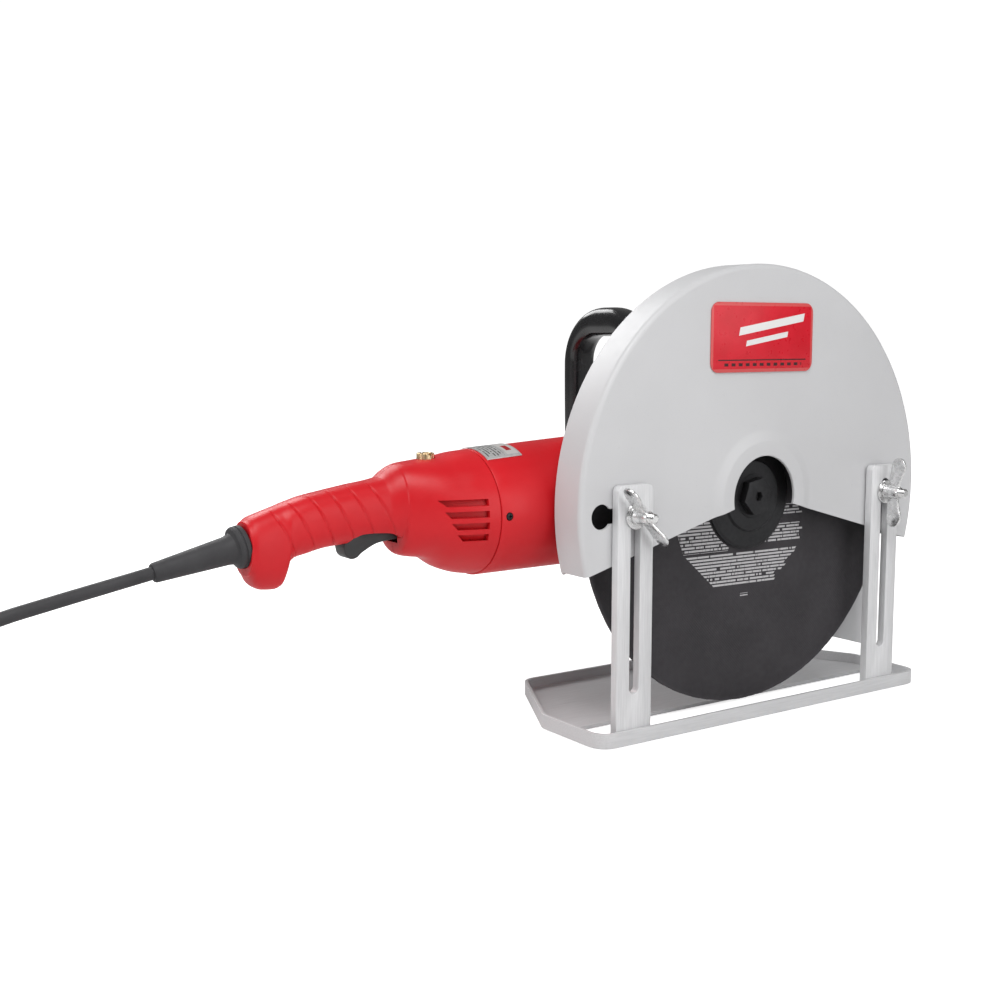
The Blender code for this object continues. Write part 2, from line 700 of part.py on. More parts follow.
def brush_gear():
    """A carrier ring behind the commutator with a brush in its holder above and below."""
    here = (0, 0, AXIS_Z)
    profile = [
        (0.0245, -0.262),
        (0.0272, -0.262),
        (0.0272, -0.2930),
        (0.0140, -0.2930),
        (0.0140, -0.3000),
        (0.0113, -0.3000),
        (0.0113, -0.2900),
        (0.0245, -0.2900),
    ]
    carrier = turned("brush_carrier", profile, "X", here, "black_plastic", 36)
    for sign, label in ((1, "upper"), (-1, "lower")):

        def span(low, high):
            return sorted((AXIS_Z + sign * low, AXIS_Z + sign * high))

        x = BRUSH_X
        near, far = span(0.020, 0.038)
        window = block("brush_window", (x - 0.0083, -0.0068, near), (x + 0.0083, 0.0068, far), None)
        cut(carrier, window)
        near, far = span(0.0195, 0.0300)
        tube = block(f"brush_holder_{label}", (x - 0.008, -0.0065, near), (x + 0.008, 0.0065, far), "brass")
        near, far = span(0.015, 0.040)
        cut(tube, block("brush_bore", (x - 0.0063, -0.0045, near), (x + 0.0063, 0.0045, far), None))
        near, far = span(0.0173, 0.0280)
        block(f"carbon_brush_{label}", (x - 0.006, -0.0042, near), (x + 0.006, 0.0042, far), "carbon")


# --- rear handle ---

# Along the handle: x, top and bottom above the motor's axis, half width, squareness of the section.
HANDLE = [
    (-0.4305, 0.0030, -0.0370, 0.0165, 2.5),
    (-0.4270, 0.0058, -0.0440, 0.0178, 2.5),
    (-0.4200, 0.0082, -0.0475, 0.0182, 2.5),
    (-0.4110, 0.0110, -0.0482, 0.0180, 2.5),
    (-0.4060, 0.0125, -0.0465, 0.0180, 2.5),
    (-0.4030, 0.0134, -0.0400, 0.0180, 2.5),
    (-0.4005, 0.0142, -0.0310, 0.0180, 2.5),
    (-0.3940, 0.0160, -0.0262, 0.0180, 2.5),
    (-0.3860, 0.0182, -0.0245, 0.0180, 2.5),
    (-0.3680, 0.0213, -0.0210, 0.0180, 2.5),
    (-0.3496, 0.0242, -0.0200, 0.0183, 2.5),
    (-0.3214, 0.0284, -0.0205, 0.0208, 2.4),
    (-0.3137, 0.0336, -0.0215, 0.0235, 2.3),
    (-0.3088, 0.0362, -0.0225, 0.0255, 2.3),
    (-0.3072, 0.0370, -0.0305, 0.0262, 2.3),
    (-0.3030, 0.0382, -0.0332, 0.0285, 2.3),
    (-0.2860, 0.0400, -0.0365, 0.0370, 2.2),
    (-0.2700, 0.0418, -0.0460, 0.0435, 2.1),
    (-0.2545, 0.0445, -0.0512, 0.0480, 2.0),
    (-0.2403, 0.0456, -0.0535, 0.0500, 2.0),
]
HOLLOW_STATIONS = [-0.4240, -0.4180, -0.4110, -0.4070, -0.4030, -0.3990, -0.3940, -0.3860, -0.3680, -0.3496]
HOLLOW_STATIONS += [-0.3214, -0.3137, -0.3085, -0.3045, -0.2990, -0.2860, -0.2700, -0.2545, -0.2450]
SECTION_SIDES = 20


def handle_at(x):
    """Top, bottom, half width and squareness of the handle at x."""
    if x <= HANDLE[0][0]:
        return HANDLE[0][1:]
    for before, after in zip(HANDLE, HANDLE[1:]):
        if x <= after[0]:
            part = (x - before[0]) / (after[0] - before[0])
            return tuple(a + (b - a) * part for a, b in zip(before[1:], after[1:]))
    return HANDLE[-1][1:]


def hollow_at(x):
    """The same for the space inside, a wall's thickness in from every nearby stretch."""
    around = [handle_at(x + step * WALL) for step in (-1.3, -0.6, 0, 0.6, 1.3)]
    top = min(section[0] for section in around) - WALL
    bottom = max(section[1] for section in around) + WALL
    return top, bottom, min(section[2] for section in around) - WALL, handle_at(x)[3]


def superellipse(turn, squareness):
    """Across and up, each from -1 to 1, at this turn of a rounded square (2 is a circle)."""
    across, up = math.cos(turn), math.sin(turn)
    return (
        math.copysign(abs(across) ** (2 / squareness), across),
        math.copysign(abs(up) ** (2 / squareness), up),
    )


def section_ring(x, top, bottom, half_width, squareness, sides):
    middle, half = (top + bottom) / 2, (top - bottom) / 2
    points = []
    for i in range(sides):
        across, up = superellipse(2 * math.pi * i / sides, squareness)
        points.append((x, across * half_width, AXIS_Z + middle + half * up))
    return points


def skin(name, rings, material):
    """A closed body through rings of points of equal count."""
    count = len(rings[0])
    faces = []
    for level in range(len(rings) - 1):
        low, high = level * count, (level + 1) * count
        for i in range(count):
            j = (i + 1) % count
            faces.append((low + i, low + j, high + j, high + i))
    last = (len(rings) - 1) * count
    faces.append(tuple(range(count)))
    faces.append(tuple(last + i for i in range(count)))
    mesh = bpy.data.meshes.new(name)
    mesh.from_pydata([point for points in rings for point in points], [], faces)
    made = bmesh.new()
    made.from_mesh(mesh)
    bmesh.ops.triangulate(made, faces=made.faces)
    bmesh.ops.recalc_face_normals(made, faces=made.faces)
    made.to_mesh(mesh)
    made.free()
    return place(name, mesh, material)


def loft(name, sections, material, sides=SECTION_SIDES):
    """A closed body through sections along X."""
    return skin(name, [section_ring(*section, sides) for section in sections], material)


RELIEF_START = Vector((-0.4275, 0.0, AXIS_Z - 0.0138))
RELIEF_RUN = Vector((-1.0, 0.0, -0.197)).normalized()
RELIEF_LENGTH = 0.073


LUG_HOLLOW = [motor_section(x, -2 * WALL - GAP) for x in (-0.2430, -0.2270)]


def handle_shells():
    """The clamshell's left half, and the right one as its mirror image."""
    shell = loft("handle_shell_left", HANDLE, "red_plastic")
    join(shell, motor_loft("handle_lug", -0.242, -0.2285, -WALL - GAP, None))
    hollow = loft("handle_hollow", [(x, *hollow_at(x)) for x in HOLLOW_STATIONS] + LUG_HOLLOW, None)
    # The wall keeps a boss at each end of the trigger's pin.
    x, _, z = TRIGGER_PIVOT
    cut(hollow, rod("pin_boss", (x, TRIGGER_OPENING - GAP, z), (x, 0.0300, z), 0.0045, None))
    cut(shell, hollow)
    cut(shell, rod("pin_seat", (x, 0.006, z), (x, 0.0185, z), 0.0023, None))
    cut(shell, block("handle_half", (-0.5, GAP / 2, 0.08), (-0.2, 0.07, 0.3), None), "INTERSECT")
    near, far = (LUG_SCREW_X, 0.037, LUG_SCREW_Z), (LUG_SCREW_X, 0.0495, LUG_SCREW_Z)
    cut(shell, rod("lug_hole", near, far, 0.0019, None, 12))
    for index in range(4):
        middle = 0.0090 * (1 - index)
        left = -0.2887 + 0.0049 * index
        slant = 0.0065 if index == 0 else 0.0045
        high, low, right = middle + 0.0026, middle - 0.0026, -0.2502
        outline = [(left, high), (left + slant, low), (right, low), (right, high)]
        cut(shell, sheet("vent", [outline], 0.045, (0, 0.0375, AXIS_Z), FACING_FRONT, None))
    arch = [(-0.3530, -0.0230), (-0.3510, -0.0170), (-0.3465, -0.0137), (-0.3394, -0.0119)]
    arch += [(-0.3206, -0.0127), (-0.3100, -0.0160), (-0.3085, -0.0180)]
    arch += [(-0.3085, -0.0400), (-0.3530, -0.0400)]
    cut(shell, sheet("trigger_arch", [arch], 0.08, (0, 0, AXIS_Z), FACING_FRONT, None))
    pocket = [(-0.3558, -0.0450), (-0.3082, -0.0450), (-0.3082, -0.0225), (-0.2995, -0.0225)]
    pocket += [(-0.2995, -0.0020), (-0.3558, -0.0020)]
    gap = sheet("trigger_opening", [pocket], 2 * TRIGGER_OPENING, (0, 0, AXIS_Z), FACING_FRONT, None)
    cut(shell, gap)
    seat = [(0, 0.055), (0.0075, 0.055), (0.0075, 0.0392), (0.0058, 0.0392), (0.0058, 0.030), (0, 0.030)]
    seat = [(radius, AXIS_Z + height) for radius, height in seat]
    cut(shell, turned("brush_cap_seat", seat, "Z", (BRUSH_X, 0, 0), None, 24))
    start, end = RELIEF_START - 0.008 * RELIEF_RUN, RELIEF_START + 0.006 * RELIEF_RUN
    cut(shell, rod("relief_hole", start, end, 0.0108, None, 24))
    start, end = RELIEF_START + 0.0030 * RELIEF_RUN, RELIEF_START + 0.020 * RELIEF_RUN
    cut(shell, rod("relief_face", start, end, 0.0162, None, 24))
    bpy.context.view_layer.update()
    graph = bpy.context.evaluated_depsgraph_get()
    mirrored = bmesh.new()
    mirrored.from_object(shell, graph)
    bmesh.ops.scale(mirrored, vec=(1, -1, 1), verts=mirrored.verts)
    bmesh.ops.reverse_faces(mirrored, faces=mirrored.faces)
    mesh = bpy.data.meshes.new("handle_shell_right")
    mirrored.to_mesh(mesh)
    mirrored.free()
    place("handle_shell_right", mesh, "red_plastic")


def handle():
    handle_shells()
    cap = [(0, 0.0450), (0.0058, 0.0450), (0.0070, 0.0440), (0.0070, 0.0395)]
    cap += [(0.0055, 0.0395), (0.0055, 0.0305), (0, 0.0305)]
    cap = [(radius, AXIS_Z + height) for radius, height in cap]
    brush_cap = turned("brush_cap", cap, "Z", (BRUSH_X, 0, 0), "brass", 24)
    low, high = (BRUSH_X - 0.0012, -0.02, AXIS_Z + 0.0432), (BRUSH_X + 0.0012, 0.02, AXIS_Z + 0.06)
    cut(brush_cap, block("brush_cap_slot", low, high, None))
    x, _, z = TRIGGER_PIVOT
    rod("trigger_pin", (x, -0.0180, z), (x, 0.0180, z), 0.0020, "steel")
    low, high = (-0.352, -0.0105, AXIS_Z + 0.0010), (-0.318, 0.0105, AXIS_Z + 0.0155)
    block("switch_body", low, high, "black_plastic")
    trigger()
    relief = [
        (0, -0.0095),
        (0.0118, -0.0095),
        (0.0118, -0.0062),
        (0.0104, -0.0062),
        (0.0104, 0.0033),
        (0.0155, 0.0033),
        (0.0157, 0.0090),
        (0.0145, 0.0115),
        (0.0112, 0.0128),
        (0.0105, 0.0170),
        (0.0072, RELIEF_LENGTH),
        (0, RELIEF_LENGTH),
    ]
    turn = Vector((0, 0, 1)).rotation_difference(RELIEF_RUN).to_euler()
    turned("strain_relief", relief, turn, RELIEF_START, "grey_rubber", 24)


def trigger():
    """A paddle hinged at its front end, with its return spring behind the pin."""
    px, _, pz = TRIGGER_PIVOT
    outline = [(-0.3020, -0.0185), (-0.3020, -0.0145), (-0.3045, -0.0095), (-0.3510, -0.0095)]
    outline += [(-0.3543, -0.0215), (-0.3525, -0.0280), (-0.3480, -0.0313), (-0.3430, -0.0306)]
    outline += [(-0.3382, -0.0270), (-0.3268, -0.0215), (-0.3150, -0.0196), (-0.3060, -0.0190)]
    hole = arc(px, pz - AXIS_Z, 0.0023, 0, 330, 11)
    local = [[(x - px, z - (pz - AXIS_Z)) for x, z in line] for line in (outline, hole)]
    lever = sheet("trigger", local, 2 * TRIGGER_HALF_WIDTH, TRIGGER_PIVOT, FACING_FRONT, "black_plastic")
    pocket_low, pocket_high = (SPRING_X, 0, AXIS_Z - 0.016), (SPRING_X, 0, AXIS_Z)
    cut(lever, rod("spring_pocket", pocket_low, pocket_high, 0.0036, None))
    turns, wire, radius, steps = 4, 0.0005, 0.0024, 8
    low, high = AXIS_Z - 0.0150, AXIS_Z + 0.0002
    curve = bpy.data.curves.new("trigger_spring", "CURVE")
    curve.dimensions = "3D"
    curve.bevel_depth = wire
    curve.bevel_resolution = 1
    curve.use_fill_caps = True
    count = turns * steps
    spline = curve.splines.new("POLY")
    spline.points.add(count)
    for index, point in enumerate(spline.points):
        turn = 2 * math.pi * index / steps
        height = low + (high - low) * index / count
        point.co = (SPRING_X + radius * math.cos(turn), radius * math.sin(turn), height, 1)
    place("trigger_spring", curve, "steel")


# --- depth shoe ---


def inset(corners, distance):
    """The polygon with every edge moved inwards, for corners listed anticlockwise."""
    moved = []
    count = len(corners)
    for i in range(count):
        before, here, after = (Vector(corners[k % count]) for k in (i - 1, i, i + 1))
        first = (here - before).normalized()
        second = (after - here).normalized()
        inward = Vector((-first.y, first.x)) + Vector((-second.y, second.x))
        inward *= distance / (inward.length_squared / 2)
        moved.append(tuple(here + inward))
    return moved


def rounded(corners, radius, count=4):
    """The polygon with each corner turned into an arc of about this radius."""
    outline = []
    total = len(corners)
    for i in range(total):
        before, here, after = (Vector(corners[k % total]) for k in (i - 1, i, i + 1))
        back, ahead = (before - here).normalized(), (after - here).normalized()
        angle = back.angle(ahead)
        reach = min(radius / math.tan(angle / 2), 0.3 * (before - here).length, 0.3 * (after - here).length)
        start, end = here + back * reach, here + ahead * reach
        for step in range(count + 1):
            part = step / count
            point = start * (1 - part) ** 2 + here * 2 * part * (1 - part) + end * part**2
            outline.append(tuple(point))
    return outline


SHOE_CORNERS = [
    (SHOE_LEFT, SHOE_NEAR),
    (SHOE_RIGHT, SHOE_NEAR),
    (SHOE_RIGHT, -0.024),
    (0.144, SHOE_FAR),
    (-0.127, SHOE_FAR),
    (SHOE_LEFT, -0.022),
]


def shoe():
    middle = (0, 0, SHOE_RIM / 2)
    tray = sheet("shoe_plate", [rounded(SHOE_CORNERS, 0.016)], SHOE_RIM, middle, (0, 0, 0), "aluminium")
    dish = rounded(inset(SHOE_CORNERS, WALL), 0.013)
    cut(tray, sheet("shoe_dish", [dish], 0.02, (0, 0, WALL + 0.010), (0, 0, 0), None))
    near = SHOE_NEAR + WALL
    cut(tray, block("blade_opening", (OPENING_LEFT, near, -0.01), (OPENING_RIGHT, OPENING_FAR, 0.01), None))
    for sign, label in ((-1, "left"), (1, "right")):
        x = sign * STUD_X
        low, high, half = 0.0015, AXIS_Z + 0.020, BAR_WIDTH / 2
        outline = arc(x + half - 0.005, high - 0.005, 0.005, 0, 90, 3)
        outline += arc(x - half + 0.005, high - 0.005, 0.005, 90, 180, 3)
        outline += [(x - half, low), (x + half, low)]
        middle = (0, (BAR_BACK + BAR_FRONT) / 2, 0)
        slot = slot_outline(x, SLOT_LOW, SLOT_HIGH, SLOT_WIDTH)
        sheet(f"upright_{label}", [outline, slot], BAR_BACK - BAR_FRONT, middle, FACING_FRONT, "aluminium")


# --- mains lead ---


CORD_ROUTE = [
    (-0.4995, 0.0, 0.1580),
    (-0.5350, 0.0, 0.1514),
    (-0.5700, 0.0, 0.1447),
    (-0.6050, 0.0, 0.1374),
    (-0.6350, 0.0, 0.1270),
    (-0.6580, 0.0, 0.1080),
    (-0.6740, 0.0, 0.0830),
    (-0.6870, 0.0, 0.0560),
    (-0.7020, 0.0, 0.0310),
    (-0.7220, -0.0010, 0.0130),
    (-0.7390, -0.0030, 0.0066),
    (-0.7555, -0.0057, 0.0052),
]
TAIL_ROUTE = [
    (-0.7555, 0.1093, 0.0070),
    (-0.7420, 0.1062, 0.0056),
    (-0.7260, 0.1043, 0.0082),
    (-0.7110, 0.1040, 0.0124),
]


def smooth_route(route, step):
    """Points about this far apart on a smooth curve through the route."""
    points = [Vector(point) for point in route]
    ends = [2 * points[0] - points[1], *points, 2 * points[-1] - points[-2]]
    smooth = [points[0]]
    for a, b, c, d in zip(ends, ends[1:], ends[2:], ends[3:]):
        count = max(1, round((c - b).length / step))
        for i in range(1, count + 1):
            t = i / count
            bend = (2 * a - 5 * b + 4 * c - d) * t**2 + (3 * b - a - 3 * c + d) * t**3
            smooth.append(0.5 * (2 * b + (c - a) * t + bend))
    return smooth


def cord_tube(name, route):
    curve = bpy.data.curves.new(name, "CURVE")
    curve.dimensions = "3D"
    curve.bevel_depth = CORD_RADIUS
    curve.bevel_resolution = 2
    curve.use_fill_caps = True
    points = smooth_route(route, 5 * CORD_RADIUS)
    spline = curve.splines.new("POLY")
    spline.points.add(len(points) - 1)
    for point, at in zip(spline.points, points):
        point.co = (*at, 1)
    place(name, curve, "grey_rubber")


def cord():
    cord_tube("cord_lead", CORD_ROUTE)
    cord_tube("cord_tail", TAIL_ROUTE)
    low, high = COIL_RADIUS - COIL_HALF_WIDTH, COIL_RADIUS + COIL_HALF_WIDTH
    profile = [
        (low, 0.004),
        (low + 0.004, GAP),
        (high - 0.004, GAP),
        (high, 0.004),
        (high, COIL_HEIGHT - 0.004),
        (high - 0.004, COIL_HEIGHT),
        (low + 0.004, COIL_HEIGHT),
        (low, COIL_HEIGHT - 0.004),
    ]
    turned("cord_coil", profile, "Z", (*COIL_CENTRE, 0), "grey_rubber", 36)
    x, y, z = -0.7080, 2 * COIL_RADIUS, 0.0140
    grip = block("plug_body", (x, y - 0.013, GAP), (x + 0.040, y + 0.013, 0.0277), "grey_rubber")
    bevel(grip, 0.004)
    face = x + 0.040
    blade_gap, blade_half = 0.00635, 0.0008
    for sign in (-1, 1):
        middle = y + sign * blade_gap
        low = (face - 0.004, middle - blade_half, z - 0.0055)
        high = (face + 0.017, middle + blade_half, z + 0.001)
        join(grip, block("plug_blade", low, high, None))
    pin_z = z + 0.0085
    join(grip, rod("ground_pin", (face - 0.004, y, pin_z), (face + 0.019, y, pin_z), 0.0024, None, 12))


guard()
badge()
wheel_assembly()
gear_case()
bail_handle()
motor()
brush_gear()
handle()
shoe()
cord()
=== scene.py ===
"""The looks of a hand-held electric cut-off saw with a 14 in abrasive wheel on a depth shoe.

Metres, +Z up, +X forwards, the wheel on the -Y side, the sole at z 0. Every piece is built in
place, with its object at the origin, so object coordinates are the frame's coordinates.
"""

import math
import random

import bmesh
import bpy
from mathutils import Matrix, Vector


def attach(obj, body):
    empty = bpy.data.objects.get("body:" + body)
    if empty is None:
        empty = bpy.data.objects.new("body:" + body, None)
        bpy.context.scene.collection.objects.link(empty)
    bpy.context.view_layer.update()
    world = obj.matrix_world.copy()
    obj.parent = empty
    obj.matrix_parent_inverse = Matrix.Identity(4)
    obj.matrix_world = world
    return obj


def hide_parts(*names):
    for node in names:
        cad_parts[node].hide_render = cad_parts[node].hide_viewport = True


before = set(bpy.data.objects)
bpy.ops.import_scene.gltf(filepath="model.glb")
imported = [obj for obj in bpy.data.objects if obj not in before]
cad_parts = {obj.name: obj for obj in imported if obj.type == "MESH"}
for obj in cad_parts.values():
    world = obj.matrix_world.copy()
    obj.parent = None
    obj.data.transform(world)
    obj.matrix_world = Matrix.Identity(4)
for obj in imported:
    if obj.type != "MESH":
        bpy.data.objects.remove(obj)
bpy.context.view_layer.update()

AXIS_Z = 0.186  # spindle and motor axes above the sole
GUARD_RADIUS = 0.194
GUARD_FRONT = -0.088
GUARD_BACK = -0.055
GUARD_SHEET = 0.0025
GUARD_SLOPE = 0.28  # fall of the guard's lower edge, per metre sideways
GUARD_EDGE_Z = AXIS_Z + 0.002
ARBOR_HOLE = 0.035
WHEEL_RADIUS = 0.1778
WHEEL_FRONT = -0.0700
WHEEL_BACK = -0.0668
MOTOR_BACK = -0.240
MOTOR_FRONT = -0.1133
MOTOR_FRONT_SECTION = (0.0530, -0.0540, 0.0535)  # top and bottom above the axis, half width
MOTOR_BACK_SECTION = (0.0458, -0.0545, 0.0502)
WALL = 0.003
STUD_X = 0.1455
STUD_Z = AXIS_Z - 0.004
BAR_BACK = -0.089
BAR_FRONT = -0.0962
BRUSH_X = -0.278
STUD_END = -0.1195
BAIL_X = -0.094
BAIL_TOP = 0.3445
BAIL_FOOT = 0.172
LUG_SCREW_X = -0.233
LUG_SCREW_Z = AXIS_Z - 0.003
LABEL = ((-0.2375, -0.2045), (-0.026, 0.010))  # along X and along Y
CORD_RADIUS = 0.00475
COIL_MIDDLE = (-0.800, 0.052)
COIL_RADIUS = 0.052
GAP = 0.0003  # between pieces that touch
ROUTE_STEP = 0.012  # between the lead's points, where it isn't coiled
SIDES = 96  # of a round piece
AXES = {
    "X": Matrix(((0, 0, 1), (0, 1, 0), (-1, 0, 0))),
    "Y": Matrix(((1, 0, 0), (0, 0, 1), (0, -1, 0))),
    "Z": Matrix.Identity(3),
}


# --- camera, floor and lights ---


def stage():
    bpy.context.scene.view_settings.view_transform = "Standard"
    camera = bpy.data.objects.new("camera", bpy.data.cameras.new("camera"))
    camera.location = (-0.8242, -0.8986, 0.3229)
    camera.rotation_euler = (math.radians(82.995), 0, math.radians(-34.453))
    camera.data.lens = 48.87
    camera.data.sensor_width = 36
    camera.data.clip_start = 0.01
    bpy.context.scene.collection.objects.link(camera)
    bpy.context.scene.camera = camera

    white = floor_white()
    half, sink = 30.0, -0.0006
    mesh = bpy.data.meshes.new("floor")
    corners = [(-half, -half, sink), (half, -half, sink), (half, half, sink), (-half, half, sink)]
    mesh.from_pydata(corners, [], [(0, 1, 2, 3)])
    mesh.materials.append(white)
    floor = bpy.data.objects.new("floor", mesh)
    bpy.context.scene.collection.objects.link(floor)

    studio_light()
    area_light("key", (-1.0, -1.2, 2.4), (-0.05, 0, 0.15), 1.6, 48)
    area_light("front", (0.8, -2.6, 1.0), (0.05, 0, 0.2), 2.0, 25)
    area_light("back", (-0.3, 2.0, 1.8), (-0.1, 0, 0.2), 1.4, 30)
    area_light("side", (-2.6, 0.1, 1.1), (-0.2, 0, 0.2), 1.2, 13)


def floor_white():
    """A matt white floor that the camera sees as lit evenly out to the horizon."""
    white = bpy.data.materials.new("floor_white")
    white.use_nodes = True
    nodes, links = white.node_tree.nodes, white.node_tree.links
    shader = nodes["Principled BSDF"]
    shader.inputs["Base Color"].default_value = (0.80, 0.80, 0.80, 1)
    shader.inputs["Roughness"].default_value = 0.95
    shader.inputs["Specular IOR Level"].default_value = 0.1
    shader.inputs["Emission Color"].default_value = (1, 1, 1, 1)
    path = nodes.new("ShaderNodeLightPath")
    away = nodes.new("ShaderNodeVectorMath")
    away.operation = "LENGTH"
    links.new(nodes.new("ShaderNodeTexCoord").outputs["Object"], away.inputs[0])
    fade = nodes.new("ShaderNodeMapRange")
    for socket, value in {"From Min": 0.5, "From Max": 2.5, "To Min": 0.74, "To Max": 1.0}.items():
        fade.inputs[socket].default_value = value
    links.new(away.outputs["Value"], fade.inputs["Value"])
    glow = nodes.new("ShaderNodeMath")
    glow.operation = "MULTIPLY"
    links.new(path.outputs["Is Camera Ray"], glow.inputs[0])
    links.new(fade.outputs[0], glow.inputs[1])
    links.new(glow.outputs[0], shader.inputs["Emission Strength"])
    return white


def studio_light():
    """A dim white surround for the light and reflections, seen by the camera as plain white."""
    world = bpy.data.worlds.new("studio")
    bpy.context.scene.world = world
    world.use_nodes = True
    nodes, links = world.node_tree.nodes, world.node_tree.links
    surround = nodes["Background"]
    surround.inputs["Color"].default_value = (1, 1, 1, 1)
    surround.inputs["Strength"].default_value = 0.16
    backdrop = nodes.new("ShaderNodeBackground")
    backdrop.inputs["Strength"].default_value = 1.3
    path = nodes.new("ShaderNodeLightPath")
    mix = nodes.new("ShaderNodeMixShader")
    links.new(path.outputs["Is Camera Ray"], mix.inputs[0])
    links.new(surround.outputs[0], mix.inputs[1])
    links.new(backdrop.outputs[0], mix.inputs[2])
    links.new(mix.outputs[0], nodes["World Output"].inputs["Surface"])


def area_light(name, place, aim, size, power):
    light = bpy.data.lights.new(name, "AREA")
    light.size = size
    light.energy = power
    obj = bpy.data.objects.new(name, light)
    obj.location = place
    obj.rotation_euler = (Vector(aim) - Vector(place)).to_track_quat("-Z", "Y").to_euler()
    bpy.context.scene.collection.objects.link(obj)


# --- building ---


def add(name, mesh, material=None, location=(0, 0, 0), turn=None):
    """A mesh as an object at the origin, its points moved to their place."""
    if turn is not None:
        mesh.transform(turn.to_4x4())
    mesh.transform(Matrix.Translation(location))
    obj = bpy.data.objects.new(name, mesh)
    bpy.context.scene.collection.objects.link(obj)
    if material:
        mesh.materials.append(material)
    return obj


def from_bmesh(name, made, material=None, location=(0, 0, 0), turn=None):
    bmesh.ops.recalc_face_normals(made, faces=made.faces)
    mesh = bpy.data.meshes.new(name)
    made.to_mesh(mesh)
    made.free()
    return add(name, mesh, material, location, turn)


def lathe(name, profile, axis, location, material=None, sides=SIDES, wave=None):
    """A solid of revolution from points (radius, height along the axis), closed on itself or on the axis.

    wave(angle, radius, height) may return another radius.
    """
    made = bmesh.new()
    rings = []
    for radius, height in profile:
        if radius < 1e-7:
            rings.append([made.verts.new((0, 0, height))] * sides)
            continue
        ring = []
        for i in range(sides):
            angle = 2 * math.pi * i / sides
            reach = wave(angle, radius, height) if wave else radius
            ring.append(made.verts.new((reach * math.cos(angle), reach * math.sin(angle), height)))
        rings.append(ring)
    on_axis = profile[0][0] < 1e-7 and profile[-1][0] < 1e-7
    for level in range(len(rings) - (1 if on_axis else 0)):
        low, high = rings[level], rings[(level + 1) % len(rings)]
        for i in range(sides):
            j = (i + 1) % sides
            corners = list(dict.fromkeys((low[i], low[j], high[j], high[i])))
            if len(corners) > 2:
                made.faces.new(corners)
    turn = AXES[axis] if isinstance(axis, str) else axis
    return from_bmesh(name, made, material, location, turn)


def prism(name, outline, low, high, facing="Z", location=(0, 0, 0), material=None):
    """An outline pushed from low to high. facing Y makes its points x, z, and facing X y, z."""
    made = bmesh.new()
    place = {
        "Z": lambda a, b, c: (a, b, c),
        "Y": lambda a, b, c: (a, c, b),
        "X": lambda a, b, c: (c, a, b),
    }[facing]
    lower = [made.verts.new(place(a, b, low)) for a, b in outline]
    upper = [made.verts.new(place(a, b, high)) for a, b in outline]
    made.faces.new(lower)
    made.faces.new(upper)
    for i in range(len(outline)):
        j = (i + 1) % len(outline)
        made.faces.new((lower[i], lower[j], upper[j], upper[i]))
    return from_bmesh(name, made, material, location)


def box_piece(name, low, high, material=None):
    (left, near, bottom), (right, far, top) = low, high
    return prism(
        name, [(left, near), (right, near), (right, far), (left, far)], bottom, top, "Z", (0, 0, 0), material
    )


def rod(name, start, end, radius, sides=32, material=None):
    run = Vector(end) - Vector(start)
    turn = Vector((0, 0, 1)).rotation_difference(run).to_matrix()
    return lathe(
        name, [(0, 0), (radius, 0), (radius, run.length), (0, run.length)], turn, start, material, sides
    )


def apply(obj):
    """Makes the object's evaluated shape its mesh."""
    bpy.context.view_layer.update()
    graph = bpy.context.evaluated_depsgraph_get()
    mesh = bpy.data.meshes.new_from_object(obj.evaluated_get(graph))
    old = obj.data
    obj.modifiers.clear()
    obj.data = mesh
    bpy.data.meshes.remove(old)
    return obj


def carve(obj, *others, operation="DIFFERENCE"):
    for other in others:
        boolean = obj.modifiers.new("carve", "BOOLEAN")
        boolean.operation = operation
        boolean.object = other
        boolean.solver = "MANIFOLD"
    apply(obj)
    for other in others:
        bpy.data.objects.remove(other, do_unlink=True)
    return obj


def merge(obj, *others):
    return carve(obj, *others, operation="UNION")


def soften(obj, width, segments=2, angle=30):
    """Rounds the edges sharper than the angle."""
    bevel = obj.modifiers.new("round", "BEVEL")
    bevel.width = width
    bevel.segments = segments
    bevel.limit_method = "ANGLE"
    bevel.angle_limit = math.radians(angle)
    return apply(obj)


def smooth(obj, angle=32):
    """Smooth shading, with the edges sharper than the angle kept sharp."""
    made = bmesh.new()
    made.from_mesh(obj.data)
    bmesh.ops.remove_doubles(made, verts=made.verts, dist=1e-6)
    bmesh.ops.dissolve_degenerate(made, edges=made.edges, dist=1e-6)
    for face in made.faces:
        face.smooth = True
    for edge in made.edges:
        edge.smooth = not (edge.is_manifold and edge.calc_face_angle(0) > math.radians(angle))
    made.to_mesh(obj.data)
    made.free()
    return obj


def finished(obj, material, body, nodes=(), angle=32):
    """Shades the piece, gives it its material, hangs it on the body it rides on and hides the frame pieces
    that it replaces.
    """
    smooth(obj, angle)
    obj.data.materials.clear()
    obj.data.materials.append(material)
    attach(obj, body)
    if nodes:
        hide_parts(*nodes)
    return obj


def arc(x, y, radius, start, end, count):
    angles = [math.radians(start + (end - start) * i / count) for i in range(count + 1)]
    return [(x + radius * math.cos(a), y + radius * math.sin(a)) for a in angles]


def rounded_box(left, low, right, high, radius, count=8):
    return (
        arc(right - radius, high - radius, radius, 0, 90, count)
        + arc(left + radius, high - radius, radius, 90, 180, count)
        + arc(left + radius, low + radius, radius, 180, 270, count)
        + arc(right - radius, low + radius, radius, 270, 360, count)
    )


def slot_outline(x, low, high, width, count=12):
    half = width / 2
    return arc(x, high - half, half, 0, 180, count) + arc(x, low + half, half, 180, 360, count)


